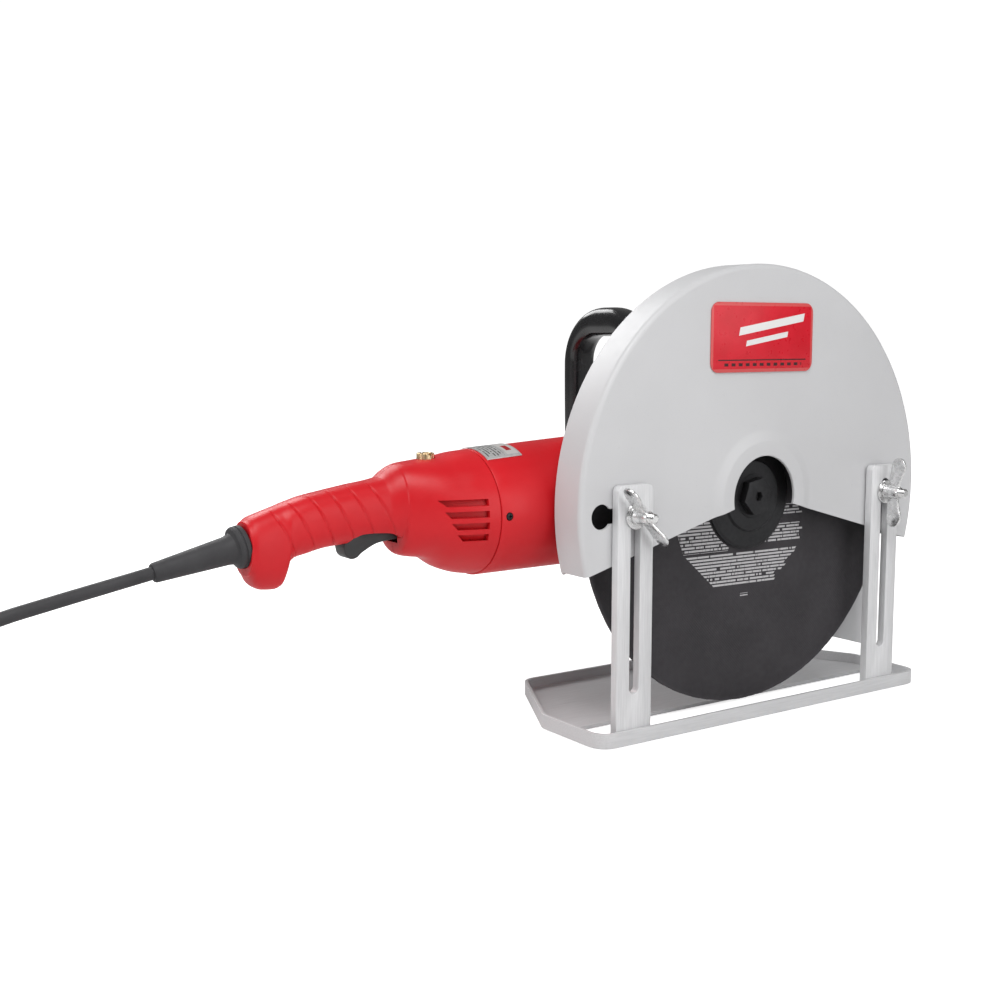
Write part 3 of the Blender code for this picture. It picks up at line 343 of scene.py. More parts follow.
def inset(corners, distance):
    """The polygon with every edge moved inwards, for corners listed anticlockwise."""
    moved = []
    count = len(corners)
    for i in range(count):
        before, here, after = (Vector(corners[k % count]) for k in (i - 1, i, i + 1))
        first, second = (here - before).normalized(), (after - here).normalized()
        inward = Vector((-first.y, first.x)) + Vector((-second.y, second.x))
        moved.append(tuple(here + inward * (2 * distance / inward.length_squared)))
    return moved


def rounded(corners, radius, count=10):
    """The polygon with each corner turned into an arc of about this radius."""
    outline = []
    total = len(corners)
    for i in range(total):
        before, here, after = (Vector(corners[k % total]) for k in (i - 1, i, i + 1))
        back, ahead = (before - here).normalized(), (after - here).normalized()
        longest = 0.3 * min((before - here).length, (after - here).length)
        reach = min(radius / math.tan(back.angle(ahead) / 2), longest)
        start, end = here + back * reach, here + ahead * reach
        for step in range(count + 1):
            part = step / count
            point = start * (1 - part) ** 2 + here * 2 * part * (1 - part) + end * part**2
            outline.append(tuple(point))
    return outline


def smooth_route(route, step):
    """Points about this far apart on a smooth curve through the route."""
    points = [Vector(point) for point in route]
    ends = [2 * points[0] - points[1], *points, 2 * points[-1] - points[-2]]
    found = [points[0]]
    for a, b, c, d in zip(ends, ends[1:], ends[2:], ends[3:]):
        count = max(1, round((c - b).length / step))
        for i in range(1, count + 1):
            t = i / count
            bend = (2 * a - 5 * b + 4 * c - d) * t**2 + (3 * b - a - 3 * c + d) * t**3
            found.append(0.5 * (2 * b + (c - a) * t + bend))
    return found


def polar(radius, angle):
    """World X and Z of a point round the spindle."""
    turn = math.radians(angle)
    return radius * math.cos(turn), AXIS_Z + radius * math.sin(turn)


# --- materials ---


class Finish:
    """A material and its nodes, with short calls for the nodes that the finishes use."""

    def __init__(self, name, roughness=0.5, metallic=0.0, **sockets):
        self.material = bpy.data.materials.new(name)
        self.material.use_nodes = True
        self.nodes = self.material.node_tree.nodes
        self.links = self.material.node_tree.links
        self.shader = self.nodes["Principled BSDF"]
        self.shader.inputs["Roughness"].default_value = roughness
        self.shader.inputs["Metallic"].default_value = metallic
        for socket, value in sockets.items():
            self.shader.inputs[socket.replace("_", " ")].default_value = value
        self.place = self.nodes.new("ShaderNodeTexCoord").outputs["Object"]
        self.height = None

    def put(self, node, values):
        for socket, value in values.items():
            if isinstance(value, bpy.types.NodeSocket):
                self.links.new(value, node.inputs[socket])
            else:
                node.inputs[socket].default_value = value
        return node

    def math(self, operation, *values):
        node = self.nodes.new("ShaderNodeMath")
        node.operation = operation
        return self.put(node, dict(enumerate(values))).outputs[0]

    def within(self, value, low, high, blur=0.0):
        """1 where low < value < high."""
        if not blur:
            above = self.math("GREATER_THAN", value, low)
            return self.math("MULTIPLY", above, self.math("LESS_THAN", value, high))
        above = self.fit(value, low - blur, low + blur)
        return self.math("MULTIPLY", above, self.fit(value, high + blur, high - blur))

    def fit(self, value, from_low, from_high, low=0.0, high=1.0):
        node = self.nodes.new("ShaderNodeMapRange")
        values = {0: value, 1: from_low, 2: from_high, 3: low, 4: high}
        return self.put(node, values).outputs[0]

    def axes(self):
        node = self.nodes.new("ShaderNodeSeparateXYZ")
        self.links.new(self.place, node.inputs[0])
        return node.outputs

    def combine(self, x, y, z):
        node = self.nodes.new("ShaderNodeCombineXYZ")
        return self.put(node, {0: x, 1: y, 2: z}).outputs[0]

    def noise(self, scale, detail=3.0, stretch=(1, 1, 1), vector=None):
        mapping = self.nodes.new("ShaderNodeMapping")
        self.links.new(vector or self.place, mapping.inputs["Vector"])
        mapping.inputs["Scale"].default_value = stretch
        node = self.nodes.new("ShaderNodeTexNoise")
        self.put(node, {"Vector": mapping.outputs[0], "Scale": scale, "Detail": detail})
        return node.outputs["Fac"]

    def cells(self, scale, feature="F1", output="Distance"):
        node = self.nodes.new("ShaderNodeTexVoronoi")
        node.feature = feature
        return self.put(node, {"Vector": self.place, "Scale": scale}).outputs[output]

    def blend(self, factor, first, second):
        node = self.nodes.new("ShaderNodeMix")
        node.data_type = "RGBA"
        self.put(node, {0: factor, 6: rgba(first), 7: rgba(second)})
        return node.outputs[2]

    def ramp(self, factor, *stops):
        """Colours at places along the factor: (place, colour)."""
        node = self.nodes.new("ShaderNodeValToRGB")
        elements = node.color_ramp.elements
        while len(elements) < len(stops):
            elements.new(0.5)
        for element, (place, colour) in zip(elements, stops):
            element.position = place
            element.color = rgba(colour)
        self.links.new(factor, node.inputs[0])
        return node.outputs[0]

    def colour(self, value):
        self.put(self.shader, {"Base Color": value})

    def rough(self, value):
        self.put(self.shader, {"Roughness": value})

    def raise_by(self, height, distance, strength=1.0):
        """Adds a bump of this many metres to the ones before it."""
        node = self.nodes.new("ShaderNodeBump")
        self.put(node, {"Height": height, "Distance": distance, "Strength": strength})
        if self.height:
            self.links.new(self.height, node.inputs["Normal"])
        self.height = node.outputs[0]
        self.links.new(self.height, self.shader.inputs["Normal"])


def rgba(colour):
    return (*colour, 1.0) if isinstance(colour, tuple) and len(colour) == 3 else colour


def shade(colour, factor):
    return tuple(channel * factor for channel in colour)


def moulded_plastic(name, base, roughness, grain=0.00003, grain_scale=1500, coat=0.0, gloss=0.5):
    """Plastic from a spark-eroded mould: fine grain, faint clouding, and uneven gloss."""
    made = Finish(name, roughness, Coat_Weight=coat, Coat_Roughness=0.12, Specular_IOR_Level=gloss)
    cloud = made.noise(14, 4)
    made.colour(made.ramp(cloud, (0.3, shade(base, 0.93)), (0.7, shade(base, 1.06))))
    made.rough(made.fit(made.noise(90, 5), 0.3, 0.7, roughness - 0.05, roughness + 0.07))
    made.raise_by(made.noise(60, 2), 0.00012, 0.35)
    made.raise_by(made.noise(grain_scale, 2), grain, 0.6)
    return made.material


def paint_finish(name, base):
    """Sprayed enamel on pressed sheet: orange peel, faint handling marks, a slightly uneven tone."""
    made = Finish(name, 0.42, Coat_Weight=0.12, Coat_Roughness=0.25)
    tone = made.ramp(made.noise(9, 4), (0.3, shade(base, 0.965)), (0.7, shade(base, 1.02)))
    marks = made.noise(55, 6, (1.0, 1.0, 7.0))
    scuffs = made.fit(marks, 0.66, 0.74)
    specks = made.fit(made.noise(700, 2), 0.70, 0.78)
    dirt = made.math("MULTIPLY", specks, 0.22)
    worn = made.blend(made.math("MULTIPLY", scuffs, 0.10), tone, shade(base, 0.72))
    made.colour(made.blend(dirt, worn, shade(base, 0.55)))
    made.rough(made.fit(made.noise(120, 4), 0.3, 0.7, 0.38, 0.50))
    made.raise_by(made.noise(420, 2), 0.00008, 0.30)
    return made.material


def brushed_metal(name, base, roughness, metallic, stretch, depth=0.00002):
    """Satin aluminium or steel with a grain along one axis and a few longer scratches."""
    made = Finish(name, roughness, metallic)
    grain = made.noise(900, 4, stretch)
    tone = made.ramp(grain, (0.25, shade(base, 0.90)), (0.75, shade(base, 1.06)))
    cloud = made.fit(made.noise(22, 5), 0.35, 0.75)
    toned = made.blend(made.math("MULTIPLY", cloud, 0.22), tone, shade(base, 0.80))
    scratch = made.fit(made.noise(240, 6, tuple(0.6 * s for s in stretch)), 0.72, 0.78)
    made.colour(made.blend(made.math("MULTIPLY", scratch, 0.35), toned, shade(base, 0.62)))
    made.rough(made.fit(grain, 0.3, 0.7, roughness - 0.06, roughness + 0.09))
    made.raise_by(grain, depth, 0.5)
    return made.material


def cast_metal(name, base, roughness):
    """Die-cast alloy: a pebbled skin with flow marks and darker pits."""
    made = Finish(name, roughness, 0.75)
    cloud = made.ramp(made.noise(35, 5), (0.3, shade(base, 0.85)), (0.7, shade(base, 1.05)))
    pits = made.fit(made.noise(800, 3), 0.64, 0.74)
    made.colour(made.blend(made.math("MULTIPLY", pits, 0.45), cloud, shade(base, 0.45)))
    made.rough(made.fit(made.noise(260, 4), 0.3, 0.7, roughness - 0.08, roughness + 0.12))
    made.raise_by(made.noise(650, 3), 0.00012, 0.5)
    return made.material


def plated_metal(name, base, roughness, depth=0.00002):
    """Plated or turned metal: bright, with a faint crystalline mottle and dull spots."""
    made = Finish(name, roughness, 1.0)
    mottle = made.cells(380, output="Color")
    grey = made.nodes.new("ShaderNodeRGBToBW")
    made.links.new(mottle, grey.inputs[0])
    tone = made.ramp(grey.outputs[0], (0.2, shade(base, 0.86)), (0.8, shade(base, 1.04)))
    dull = made.fit(made.noise(130, 5), 0.52, 0.72)
    made.colour(made.blend(made.math("MULTIPLY", dull, 0.35), tone, shade(base, 0.66)))
    made.rough(made.fit(made.noise(300, 4), 0.3, 0.7, roughness - 0.05, roughness + 0.12))
    made.raise_by(made.noise(1400, 2), depth, 0.5)
    return made.material


def rubber(name, base, roughness):
    """Matt flexible PVC: dusty, finely pitted, a little uneven along its length."""
    made = Finish(name, roughness, Specular_IOR_Level=0.35)
    cloud = made.ramp(made.noise(40, 4), (0.3, shade(base, 0.88)), (0.7, shade(base, 1.10)))
    dust = made.fit(made.noise(900, 2), 0.66, 0.76)
    made.colour(made.blend(made.math("MULTIPLY", dust, 0.25), cloud, shade(base, 1.9)))
    made.rough(made.fit(made.noise(150, 4), 0.3, 0.7, roughness - 0.05, roughness + 0.08))
    made.raise_by(made.noise(1300, 3), 0.00003, 0.6)
    return made.material


def abrasive():
    """Resin-bonded abrasive with its glass-fibre weave, grit and a generic block of printed rows."""
    made = Finish("abrasive_wheel", 0.78, Specular_IOR_Level=0.3)
    base = (0.043, 0.040, 0.044)
    x, y, z = made.axes()
    z = made.math("SUBTRACT", z, AXIS_Z)
    pitch = 0.0026
    across = made.math("SINE", made.math("MULTIPLY", x, 2 * math.pi / pitch))
    along = made.math("SINE", made.math("MULTIPLY", z, 2 * math.pi / pitch))
    weave = made.math("MULTIPLY", across, along)
    radius = made.math("SQRT", made.math("ADD", made.math("MULTIPLY", x, x), made.math("MULTIPLY", z, z)))
    patches = made.fit(made.noise(26, 4), 0.40, 0.66)
    weave_tone = made.math("MULTIPLY", made.fit(weave, -1.0, 1.0, 0.0, 0.55), patches)
    tone = made.ramp(made.noise(18, 5), (0.3, shade(base, 0.84)), (0.7, shade(base, 1.14)))
    tone = made.blend(weave_tone, tone, shade(base, 0.62))
    grit = made.fit(made.noise(1500, 2), 0.62, 0.74)
    tone = made.blend(made.math("MULTIPLY", grit, 0.45), tone, shade(base, 2.4))
    rim = made.fit(radius, WHEEL_RADIUS - 0.004, WHEEL_RADIUS)
    tone = made.blend(made.math("MULTIPLY", rim, 0.5), tone, shade(base, 1.6))

    rows = printed_rows(made, x, z, radius)
    front = made.math("LESS_THAN", y, WHEEL_FRONT + 0.0002)
    ink = made.math("MULTIPLY", made.math("MULTIPLY", rows, front), 0.82)
    made.colour(made.blend(ink, tone, (0.62, 0.61, 0.62)))
    made.rough(made.fit(made.noise(200, 4), 0.3, 0.7, 0.70, 0.86))
    made.raise_by(weave, 0.00006, 0.5)
    made.raise_by(made.noise(1200, 3), 0.00010, 0.7)
    return made.material


def printed_rows(made, x, z, radius):
    """Rows of pale dashes in three fields below and beside the flange. They spell nothing."""
    row_pitch = 0.00285
    tilted = made.math("ADD", z, made.math("MULTIPLY", x, 0.012))
    step = made.math("DIVIDE", tilted, row_pitch)
    row = made.math("FLOOR", step)
    stripe = made.within(made.math("FRACT", step), 0.22, 0.80)
    words = made.noise(
        1.0, 0.0, (1, 1, 1), made.combine(made.math("MULTIPLY", x, 330), made.math("MULTIPLY", row, 7.3), 0.0)
    )
    marks = made.noise(
        1.0, 1.0, (1, 1, 1),
        made.combine(made.math("MULTIPLY", x, 1150), made.math("MULTIPLY", row, 3.1), 4.0)
    )
    dash = made.math(
        "MULTIPLY", made.math("GREATER_THAN", words, 0.30), made.math("GREATER_THAN", marks, 0.33)
    )
    ragged = made.noise(1.0, 0.0, (1, 1, 1), made.combine(made.math("MULTIPLY", row, 5.7), 0.0, 2.0))
    spread = made.fit(ragged, 0.2, 0.8, -0.008, 0.008)
    edge_x = made.math("ADD", x, spread)

    outside = made.math("GREATER_THAN", radius, 0.0475)
    left_edge = made.math("ADD", made.math("MULTIPLY", z, -0.40), -0.090)
    left = made.math(
        "MULTIPLY", made.within(tilted, -0.0465, -0.0150), made.math("GREATER_THAN", x, left_edge)
    )
    left = made.math("MULTIPLY", left, made.math("LESS_THAN", edge_x, -0.020))
    right = made.math("MULTIPLY", made.within(tilted, -0.0430, -0.0270), made.within(edge_x, 0.018, 0.0655))
    upper = made.math("MULTIPLY", made.within(tilted, -0.0190, -0.0100), made.within(edge_x, 0.030, 0.066))
    low_left = made.math("ADD", made.math("MULTIPLY", z, -1.15), -0.1245)
    low_right = made.math("ADD", made.math("MULTIPLY", z, 1.00), 0.1110)
    below = made.math(
        "MULTIPLY", made.math("GREATER_THAN", x, low_left), made.math("LESS_THAN", edge_x, low_right)
    )
    below = made.math("MULTIPLY", below, made.within(tilted, -0.0770, -0.0490))
    mark = made.math("MULTIPLY", made.within(tilted, -0.0870, -0.0845), made.within(x, -0.006, 0.003))
    fields = made.math("MAXIMUM", made.math("MAXIMUM", left, right), made.math("MAXIMUM", below, upper))
    fields = made.math("MULTIPLY", fields, outside)
    fields = made.math("MAXIMUM", fields, mark)
    return made.math("MULTIPLY", fields, made.math("MULTIPLY", stripe, dash))


def badge_finish():
    """Red enamel with a pale border, a plain white slanted bar and a thin dark rule."""
    made = Finish("badge_enamel", 0.36, Coat_Weight=0.1, Coat_Roughness=0.15, Specular_IOR_Level=0.3)
    x, _, z = made.axes()
    z = made.math("SUBTRACT", z, AXIS_Z)
    red = made.ramp(made.noise(60, 4), (0.3, (0.60, 0.008, 0.020)), (0.7, (0.68, 0.012, 0.028)))
    lean = made.math("SUBTRACT", x, made.math("MULTIPLY", z, 0.22))
    rise = made.math("SUBTRACT", z, made.math("MULTIPLY", x, 0.16))
    upper = made.math("MULTIPLY", made.within(lean, -0.062, 0.010), made.within(rise, 0.1400, 0.1465))
    lower = made.math("MULTIPLY", made.within(lean, -0.052, -0.006), made.within(rise, 0.1300, 0.1345))
    white = made.math("MAXIMUM", upper, lower)
    inner = made.math("MULTIPLY", made.within(x, -0.0605, 0.0515), made.within(z, 0.1078, 0.1592))
    rule = made.math("MULTIPLY", made.within(z, 0.1145, 0.1155), made.within(x, -0.055, 0.046))
    ticks = made.math("MULTIPLY", made.within(z, 0.1100, 0.1125), made.within(x, -0.050, 0.041))
    step = made.math("FRACT", made.math("MULTIPLY", x, 125.0))
    ticks = made.math("MULTIPLY", ticks, made.math("LESS_THAN", step, 0.55))
    tone = made.blend(white, red, (0.80, 0.79, 0.78))
    tone = made.blend(made.math("MAXIMUM", rule, ticks), tone, (0.05, 0.012, 0.014))
    made.colour(made.blend(made.math("SUBTRACT", 1.0, inner), tone, (0.66, 0.09, 0.09)))
    made.rough(made.fit(made.noise(200, 3), 0.3, 0.7, 0.26, 0.36))
    made.raise_by(made.noise(500, 2), 0.00003, 0.4)
    made.raise_by(white, 0.0001, 0.5)
    return made.material


def label_finish():
    """Silver foil with columns of plain dark dashes, and a pale block with a red mark at its front end."""
    made = Finish("label_foil", 0.34, 0.45)
    x, y, _ = made.axes()
    foil = made.ramp(made.noise(400, 3), (0.3, (0.56, 0.56, 0.56)), (0.7, (0.68, 0.68, 0.67)))
    column = made.math("DIVIDE", x, 0.0031)
    stripe = made.within(made.math("FRACT", column), 0.25, 0.62)
    spot = made.combine(
        made.math("MULTIPLY", y, 560), made.math("MULTIPLY", made.math("FLOOR", column), 3.7), 0.0
    )
    dash = made.math("GREATER_THAN", made.noise(1.0, 0.0, (1, 1, 1), spot), 0.40)
    field = made.math("MULTIPLY", made.within(x, -0.2355, -0.2190), made.within(y, -0.0235, 0.0075))
    dashes = made.math("MULTIPLY", made.math("MULTIPLY", stripe, dash), field)
    tone = made.blend(dashes, foil, (0.06, 0.06, 0.06))
    pale = made.math("MULTIPLY", made.within(x, -0.2165, -0.2060), made.within(y, -0.0235, 0.0075))
    tone = made.blend(pale, tone, (0.78, 0.76, 0.74))
    mark = made.math("MULTIPLY", made.within(x, -0.2140, -0.2090), made.within(y, -0.0180, -0.0080))
    made.colour(made.blend(mark, tone, (0.55, 0.02, 0.025)))
    made.rough(made.fit(made.noise(250, 3), 0.3, 0.7, 0.30, 0.42))
    made.raise_by(made.noise(900, 2), 0.00002, 0.5)
    return made.material


RED = (0.62, 0.0105, 0.017)
PAINTS = {
    "red": moulded_plastic("red_nylon", RED, 0.38, gloss=0.32),
    "bail": moulded_plastic("bail_gloss_black", (0.010, 0.010, 0.011), 0.24, 0.00002, 900, coat=0.5),
    "black": moulded_plastic("black_nylon", (0.030, 0.030, 0.031), 0.46),
    "guard": paint_finish("guard_enamel", (0.60, 0.60, 0.61)),
    "cast": cast_metal("cast_alloy", (0.46, 0.46, 0.47), 0.46),
    "bar": brushed_metal("satin_bar", (0.74, 0.74, 0.75), 0.48, 0.2, (1.0, 1.0, 0.05)),
    "shoe": brushed_metal("satin_shoe", (0.66, 0.66, 0.67), 0.48, 0.25, (0.05, 1.0, 1.0)),
    "zinc": plated_metal("bright_zinc", (0.86, 0.86, 0.86), 0.22),
    "steel": plated_metal("ground_steel", (0.42, 0.42, 0.43), 0.34),
    "black_steel": cast_metal("blackened_steel", (0.034, 0.034, 0.036), 0.50),
    "brass": plated_metal("brass", (0.80, 0.60, 0.36), 0.30),
    "copper": plated_metal("copper", (0.72, 0.33, 0.18), 0.32),
    "carbon": rubber("carbon", (0.022, 0.022, 0.023), 0.55),
    "rubber": rubber("grey_pvc", (0.044, 0.043, 0.046), 0.58),
    "abrasive": abrasive(),
    "badge": badge_finish(),
    "label": label_finish(),
}


# --- guard ---


def lower_edge(x):
    return GUARD_EDGE_Z - GUARD_SLOPE * abs(x)


def guard():
    """Front face and rim turned round the spindle, cut off below, on a flat back wall."""
    front, sheet_back = GUARD_FRONT, GUARD_FRONT + GUARD_SHEET
    raised = 0.003
    rim_inner = GUARD_RADIUS - GUARD_SHEET
    corner = 0.0045
    outside = arc(GUARD_RADIUS - corner, front + corner, corner, -90, 0, 8)
    inside = arc(rim_inner - 0.002, sheet_back + 0.002, 0.002, 0, -90, 4)
    slope = [(0.0475, front - raised + 0.00012), (0.0490, front - 0.0024), (0.0545, front - 0.0006)]
    profile = [(ARBOR_HOLE + 0.0006, front - raised), (0.0462, front - raised), *slope, (0.0580, front)]
    profile += [*outside, (GUARD_RADIUS, GUARD_BACK - 0.0005), (rim_inner, GUARD_BACK - 0.0005), *inside]
    profile += [(0.0575, sheet_back), (0.0475, sheet_back - raised), (ARBOR_HOLE, sheet_back - raised)]
    profile += [(ARBOR_HOLE, front - raised + 0.0006)]
    shell = lathe("guard_visual", profile, "Y", (0, 0, AXIS_Z), None, 288)
    side, deep = 0.26, -0.05
    below = [
        (0, GUARD_EDGE_Z), (-side, lower_edge(side)), (-side, deep), (side, deep), (side, lower_edge(side))
    ]
    cutters = [prism("below", below, -0.13, -0.04, "Y")]
    cutters.append(rod("keyhole", (-0.173, -0.1, STUD_Z), (-0.173, -0.07, STUD_Z), 0.010, 48))
    cutters.append(box_piece("keyway", (-0.173, -0.1, STUD_Z - 0.006), (-0.150, -0.07, STUD_Z + 0.006)))
    for x in (-STUD_X, STUD_X):
        cutters.append(rod("stud_hole", (x, -0.1, STUD_Z), (x, -0.07, STUD_Z), 0.0043))
    carve(shell, *cutters)

    reach = GUARD_RADIUS - 0.0006
    corner = math.degrees(math.asin((GUARD_EDGE_Z - AXIS_Z - GUARD_SLOPE * reach) / reach))
    over = arc(0, AXIS_Z, reach, corner, 180 - corner, 180)
    boss = arc(0, AXIS_Z, 0.052, 188, 322, 48)
    skirt = [(0.041, 0.069), (0.172, 0.031), (0.172, lower_edge(0.172) + 0.001)]
    wall_back = GUARD_BACK - 0.0002
    wall = prism("guard_back_wall", over + boss + skirt, wall_back - GUARD_SHEET, wall_back, "Y")
    holes = [rod("spindle_hole", (0, -0.07, AXIS_Z), (0, -0.04, AXIS_Z), 0.0235, 72)]
    for angle in (30, 150, 270):
        x, z = polar(0.034, angle)
        holes.append(rod("screw_hole", (x, -0.07, z), (x, -0.04, z), 0.0029))
    carve(wall, *holes)
    merge(shell, wall)
    finished(shell, PAINTS["guard"], "tool", ["guard_shell"], 24)

    outline = rounded_box(-0.063, AXIS_Z + 0.105, 0.054, AXIS_Z + 0.162, 0.008)
    badge = prism("badge_plate", outline, GUARD_FRONT - GAP - 0.0008, GUARD_FRONT - GAP, "Y")
    soften(badge, 0.0003, 2)
    finished(badge, PAINTS["badge"], "tool", ["guard_badge"])


def thread(radius, start, end, pitch=0.00125):
    """Profile points of a screw thread as close rings, from start to end."""
    points = []
    count = max(2, round(abs(end - start) / pitch))
    depth = 0.0005
    for i in range(count):
        here = start + (end - start) * i / count
        half = start + (end - start) * (i + 0.5) / count
        points += [(radius - depth, here), (radius, half)]
    return points


def fixings():
    for x, label, tilt in ((-STUD_X, "left", -50), (STUD_X, "right", 84)):
        centre = (x, 0, STUD_Z)
        head = GUARD_FRONT + GUARD_SHEET + GAP
        dome = [
            (0, head + 0.0036), (0.0035, head + 0.0033), (0.0065, head + 0.0023), (0.0088, head + 0.0006),
            (0.0090, head)
        ]
        stud = [*dome, (0.004, head), *thread(0.004, -0.0960, STUD_END + 0.0007)]
        stud += [(0.0034, STUD_END + 0.0005), (0.0026, STUD_END), (0, STUD_END)]
        piece = lathe(f"carriage_bolt_{label}", stud, "Y", centre, None, 48)
        finished(piece, PAINTS["zinc"], "tool", [f"stud_{label}"])
        back = BAR_FRONT - GAP
        front = back - 0.0016
        rim = [
            (0.0043, back), (0.0102, back), (0.0105, back - 0.0003), (0.0105, front + 0.0005),
            (0.0100, front), (0.0046, front), (0.0043, front + 0.0003)
        ]
        piece = lathe(f"flat_washer_{label}", rim, "Y", centre, None, 72)
        finished(piece, PAINTS["zinc"], "tool", [f"washer_{label}"])
        wing_nut(label, centre, front - GAP, math.radians(tilt))


def wing_nut(label, centre, back, tilt):
    """A hub with two broad lobes that lean outwards from it."""
    hub = [
        (0.0043, back),
        (0.0066, back),
        (0.0068, back - 0.0004),
        (0.0068, back - 0.0014),
        (0.0060, back - 0.0030),
        (0.0055, back - 0.0080),
        (0.0052, back - 0.0146),
        (0.0049, back - 0.0150),
        (0.0046, back - 0.0150),
        (0.0043, back - 0.0146),
    ]
    nut = lathe(f"wing_nut_piece_{label}", hub, "Y", centre, None, 48)
    shape = [
        (0.0040, 0.0022),
        (0.0075, 0.0019),
        (0.0120, 0.0020),
        (0.0180, 0.0025),
        (0.0235, 0.0026),
        (0.0288, 0.0050),
        (0.0309, 0.0098),
        (0.0292, 0.0146),
        (0.0245, 0.0174),
        (0.0190, 0.0172),
        (0.0150, 0.0156),
        (0.0110, 0.0142),
        (0.0075, 0.0134),
        (0.0040, 0.0128),
    ]
    outline = [(point.x, point.y) for point in smooth_route([(a, b, 0) for a, b in shape], 0.0012)]
    wings = []
    for turn in (0, math.pi):
        wing = prism(f"wing_{label}", outline, -0.0012, 0.0012)
        soften(wing, 0.0008, 3)
        out = Vector((math.cos(tilt + turn), 0, math.sin(tilt + turn)))
        away = Vector((0, -1, 0))
        basis = Matrix((out, away, out.cross(away))).transposed()
        wing.data.transform(basis.to_4x4())
        wing.data.transform(Matrix.Translation((centre[0], back, centre[2])))
        wings.append(wing)
    merge(nut, *wings)
    finished(nut, PAINTS["zinc"], f"{label}_wing_nut", [f"wing_nut_{label}"], 40)


# --- wheel ---


def wheel():
    here = (0, 0, AXIS_Z)
    rag = random.Random(7)
    wear = [rag.uniform(-0.00035, 0.0) for _ in range(288)]

    def worn(angle, radius, height):
        if radius < WHEEL_RADIUS - 0.001:
            return radius
        return radius + wear[round(angle / (2 * math.pi) * 288) % 288]

    bore = 0.0127
    profile = [
        (bore, WHEEL_BACK), (0.060, WHEEL_BACK), (0.120, WHEEL_BACK), (WHEEL_RADIUS - 0.0004, WHEEL_BACK)
    ]
    profile += [(WHEEL_RADIUS, WHEEL_BACK - 0.0005), (WHEEL_RADIUS, WHEEL_FRONT + 0.0005)]
    profile += [
        (WHEEL_RADIUS - 0.0004, WHEEL_FRONT), (0.120, WHEEL_FRONT), (0.060, WHEEL_FRONT), (bore, WHEEL_FRONT)
    ]
    disc = lathe("abrasive_disc", profile, "Y", here, None, 288, worn)
    finished(disc, PAINTS["abrasive"], "wheel", ["cutting_wheel"])

    back = WHEEL_BACK + GAP
    pilot = bore - GAP
    inner = [
        (0.0088, back + 0.0038), (0.0450, back + 0.0038), (0.0460, back + 0.0030), (0.0460, back),
        (pilot, back)
    ]
    inner += [(pilot, WHEEL_FRONT + GAP), (0.0088, WHEEL_FRONT + GAP)]
    piece = lathe("backing_flange", inner, "Y", here)
    finished(piece, PAINTS["black_steel"], "wheel", ["inner_flange"])
    front = WHEEL_FRONT - GAP
    outer = [
        (0.0088, front), (0.0460, front), (0.0460, front - 0.0017), (0.0455, front - 0.0022),
        (0.0435, front - 0.0034)
    ]
    outer += [
        (0.0325, front - 0.0039), (0.0310, front - 0.0042), (0.0303, front - 0.0050), (0.0300, front - 0.0060)
    ]
    outer += [
        (0.0293, front - 0.0066), (0.0190, front - 0.0066), (0.0182, front - 0.0063), (0.0088, front - 0.0063)
    ]
    piece = lathe("clamping_flange", outer, "Y", here)
    finished(piece, PAINTS["black_steel"], "wheel", ["outer_flange"], 20)

    face, seat = -0.084, front - 0.0066 - GAP
    flats = [polar(0.0165, 60 * i + 12) for i in range(6)]
    head = prism("wheel_bolt", flats, face, seat, "Y")
    chamfer = [(0, seat + 0.001), (0.020, seat + 0.001), (0.020, face + 0.0022), (0.0150, face), (0, face)]
    carve(head, lathe("chamfer", chamfer, "Y", here), operation="INTERSECT")
    merge(head, rod("bolt_shank", (0, seat - 0.002, AXIS_Z), (0, -0.060, AXIS_Z), 0.006))
    socket = [polar(0.0043, 60 * i) for i in range(6)]
    carve(head, prism("socket", socket, -0.090, -0.079, "Y"))
    soften(head, 0.0003, 2)
    finished(head, PAINTS["black_steel"], "wheel", ["flange_bolt"])


# --- gear case, bail and motor ---


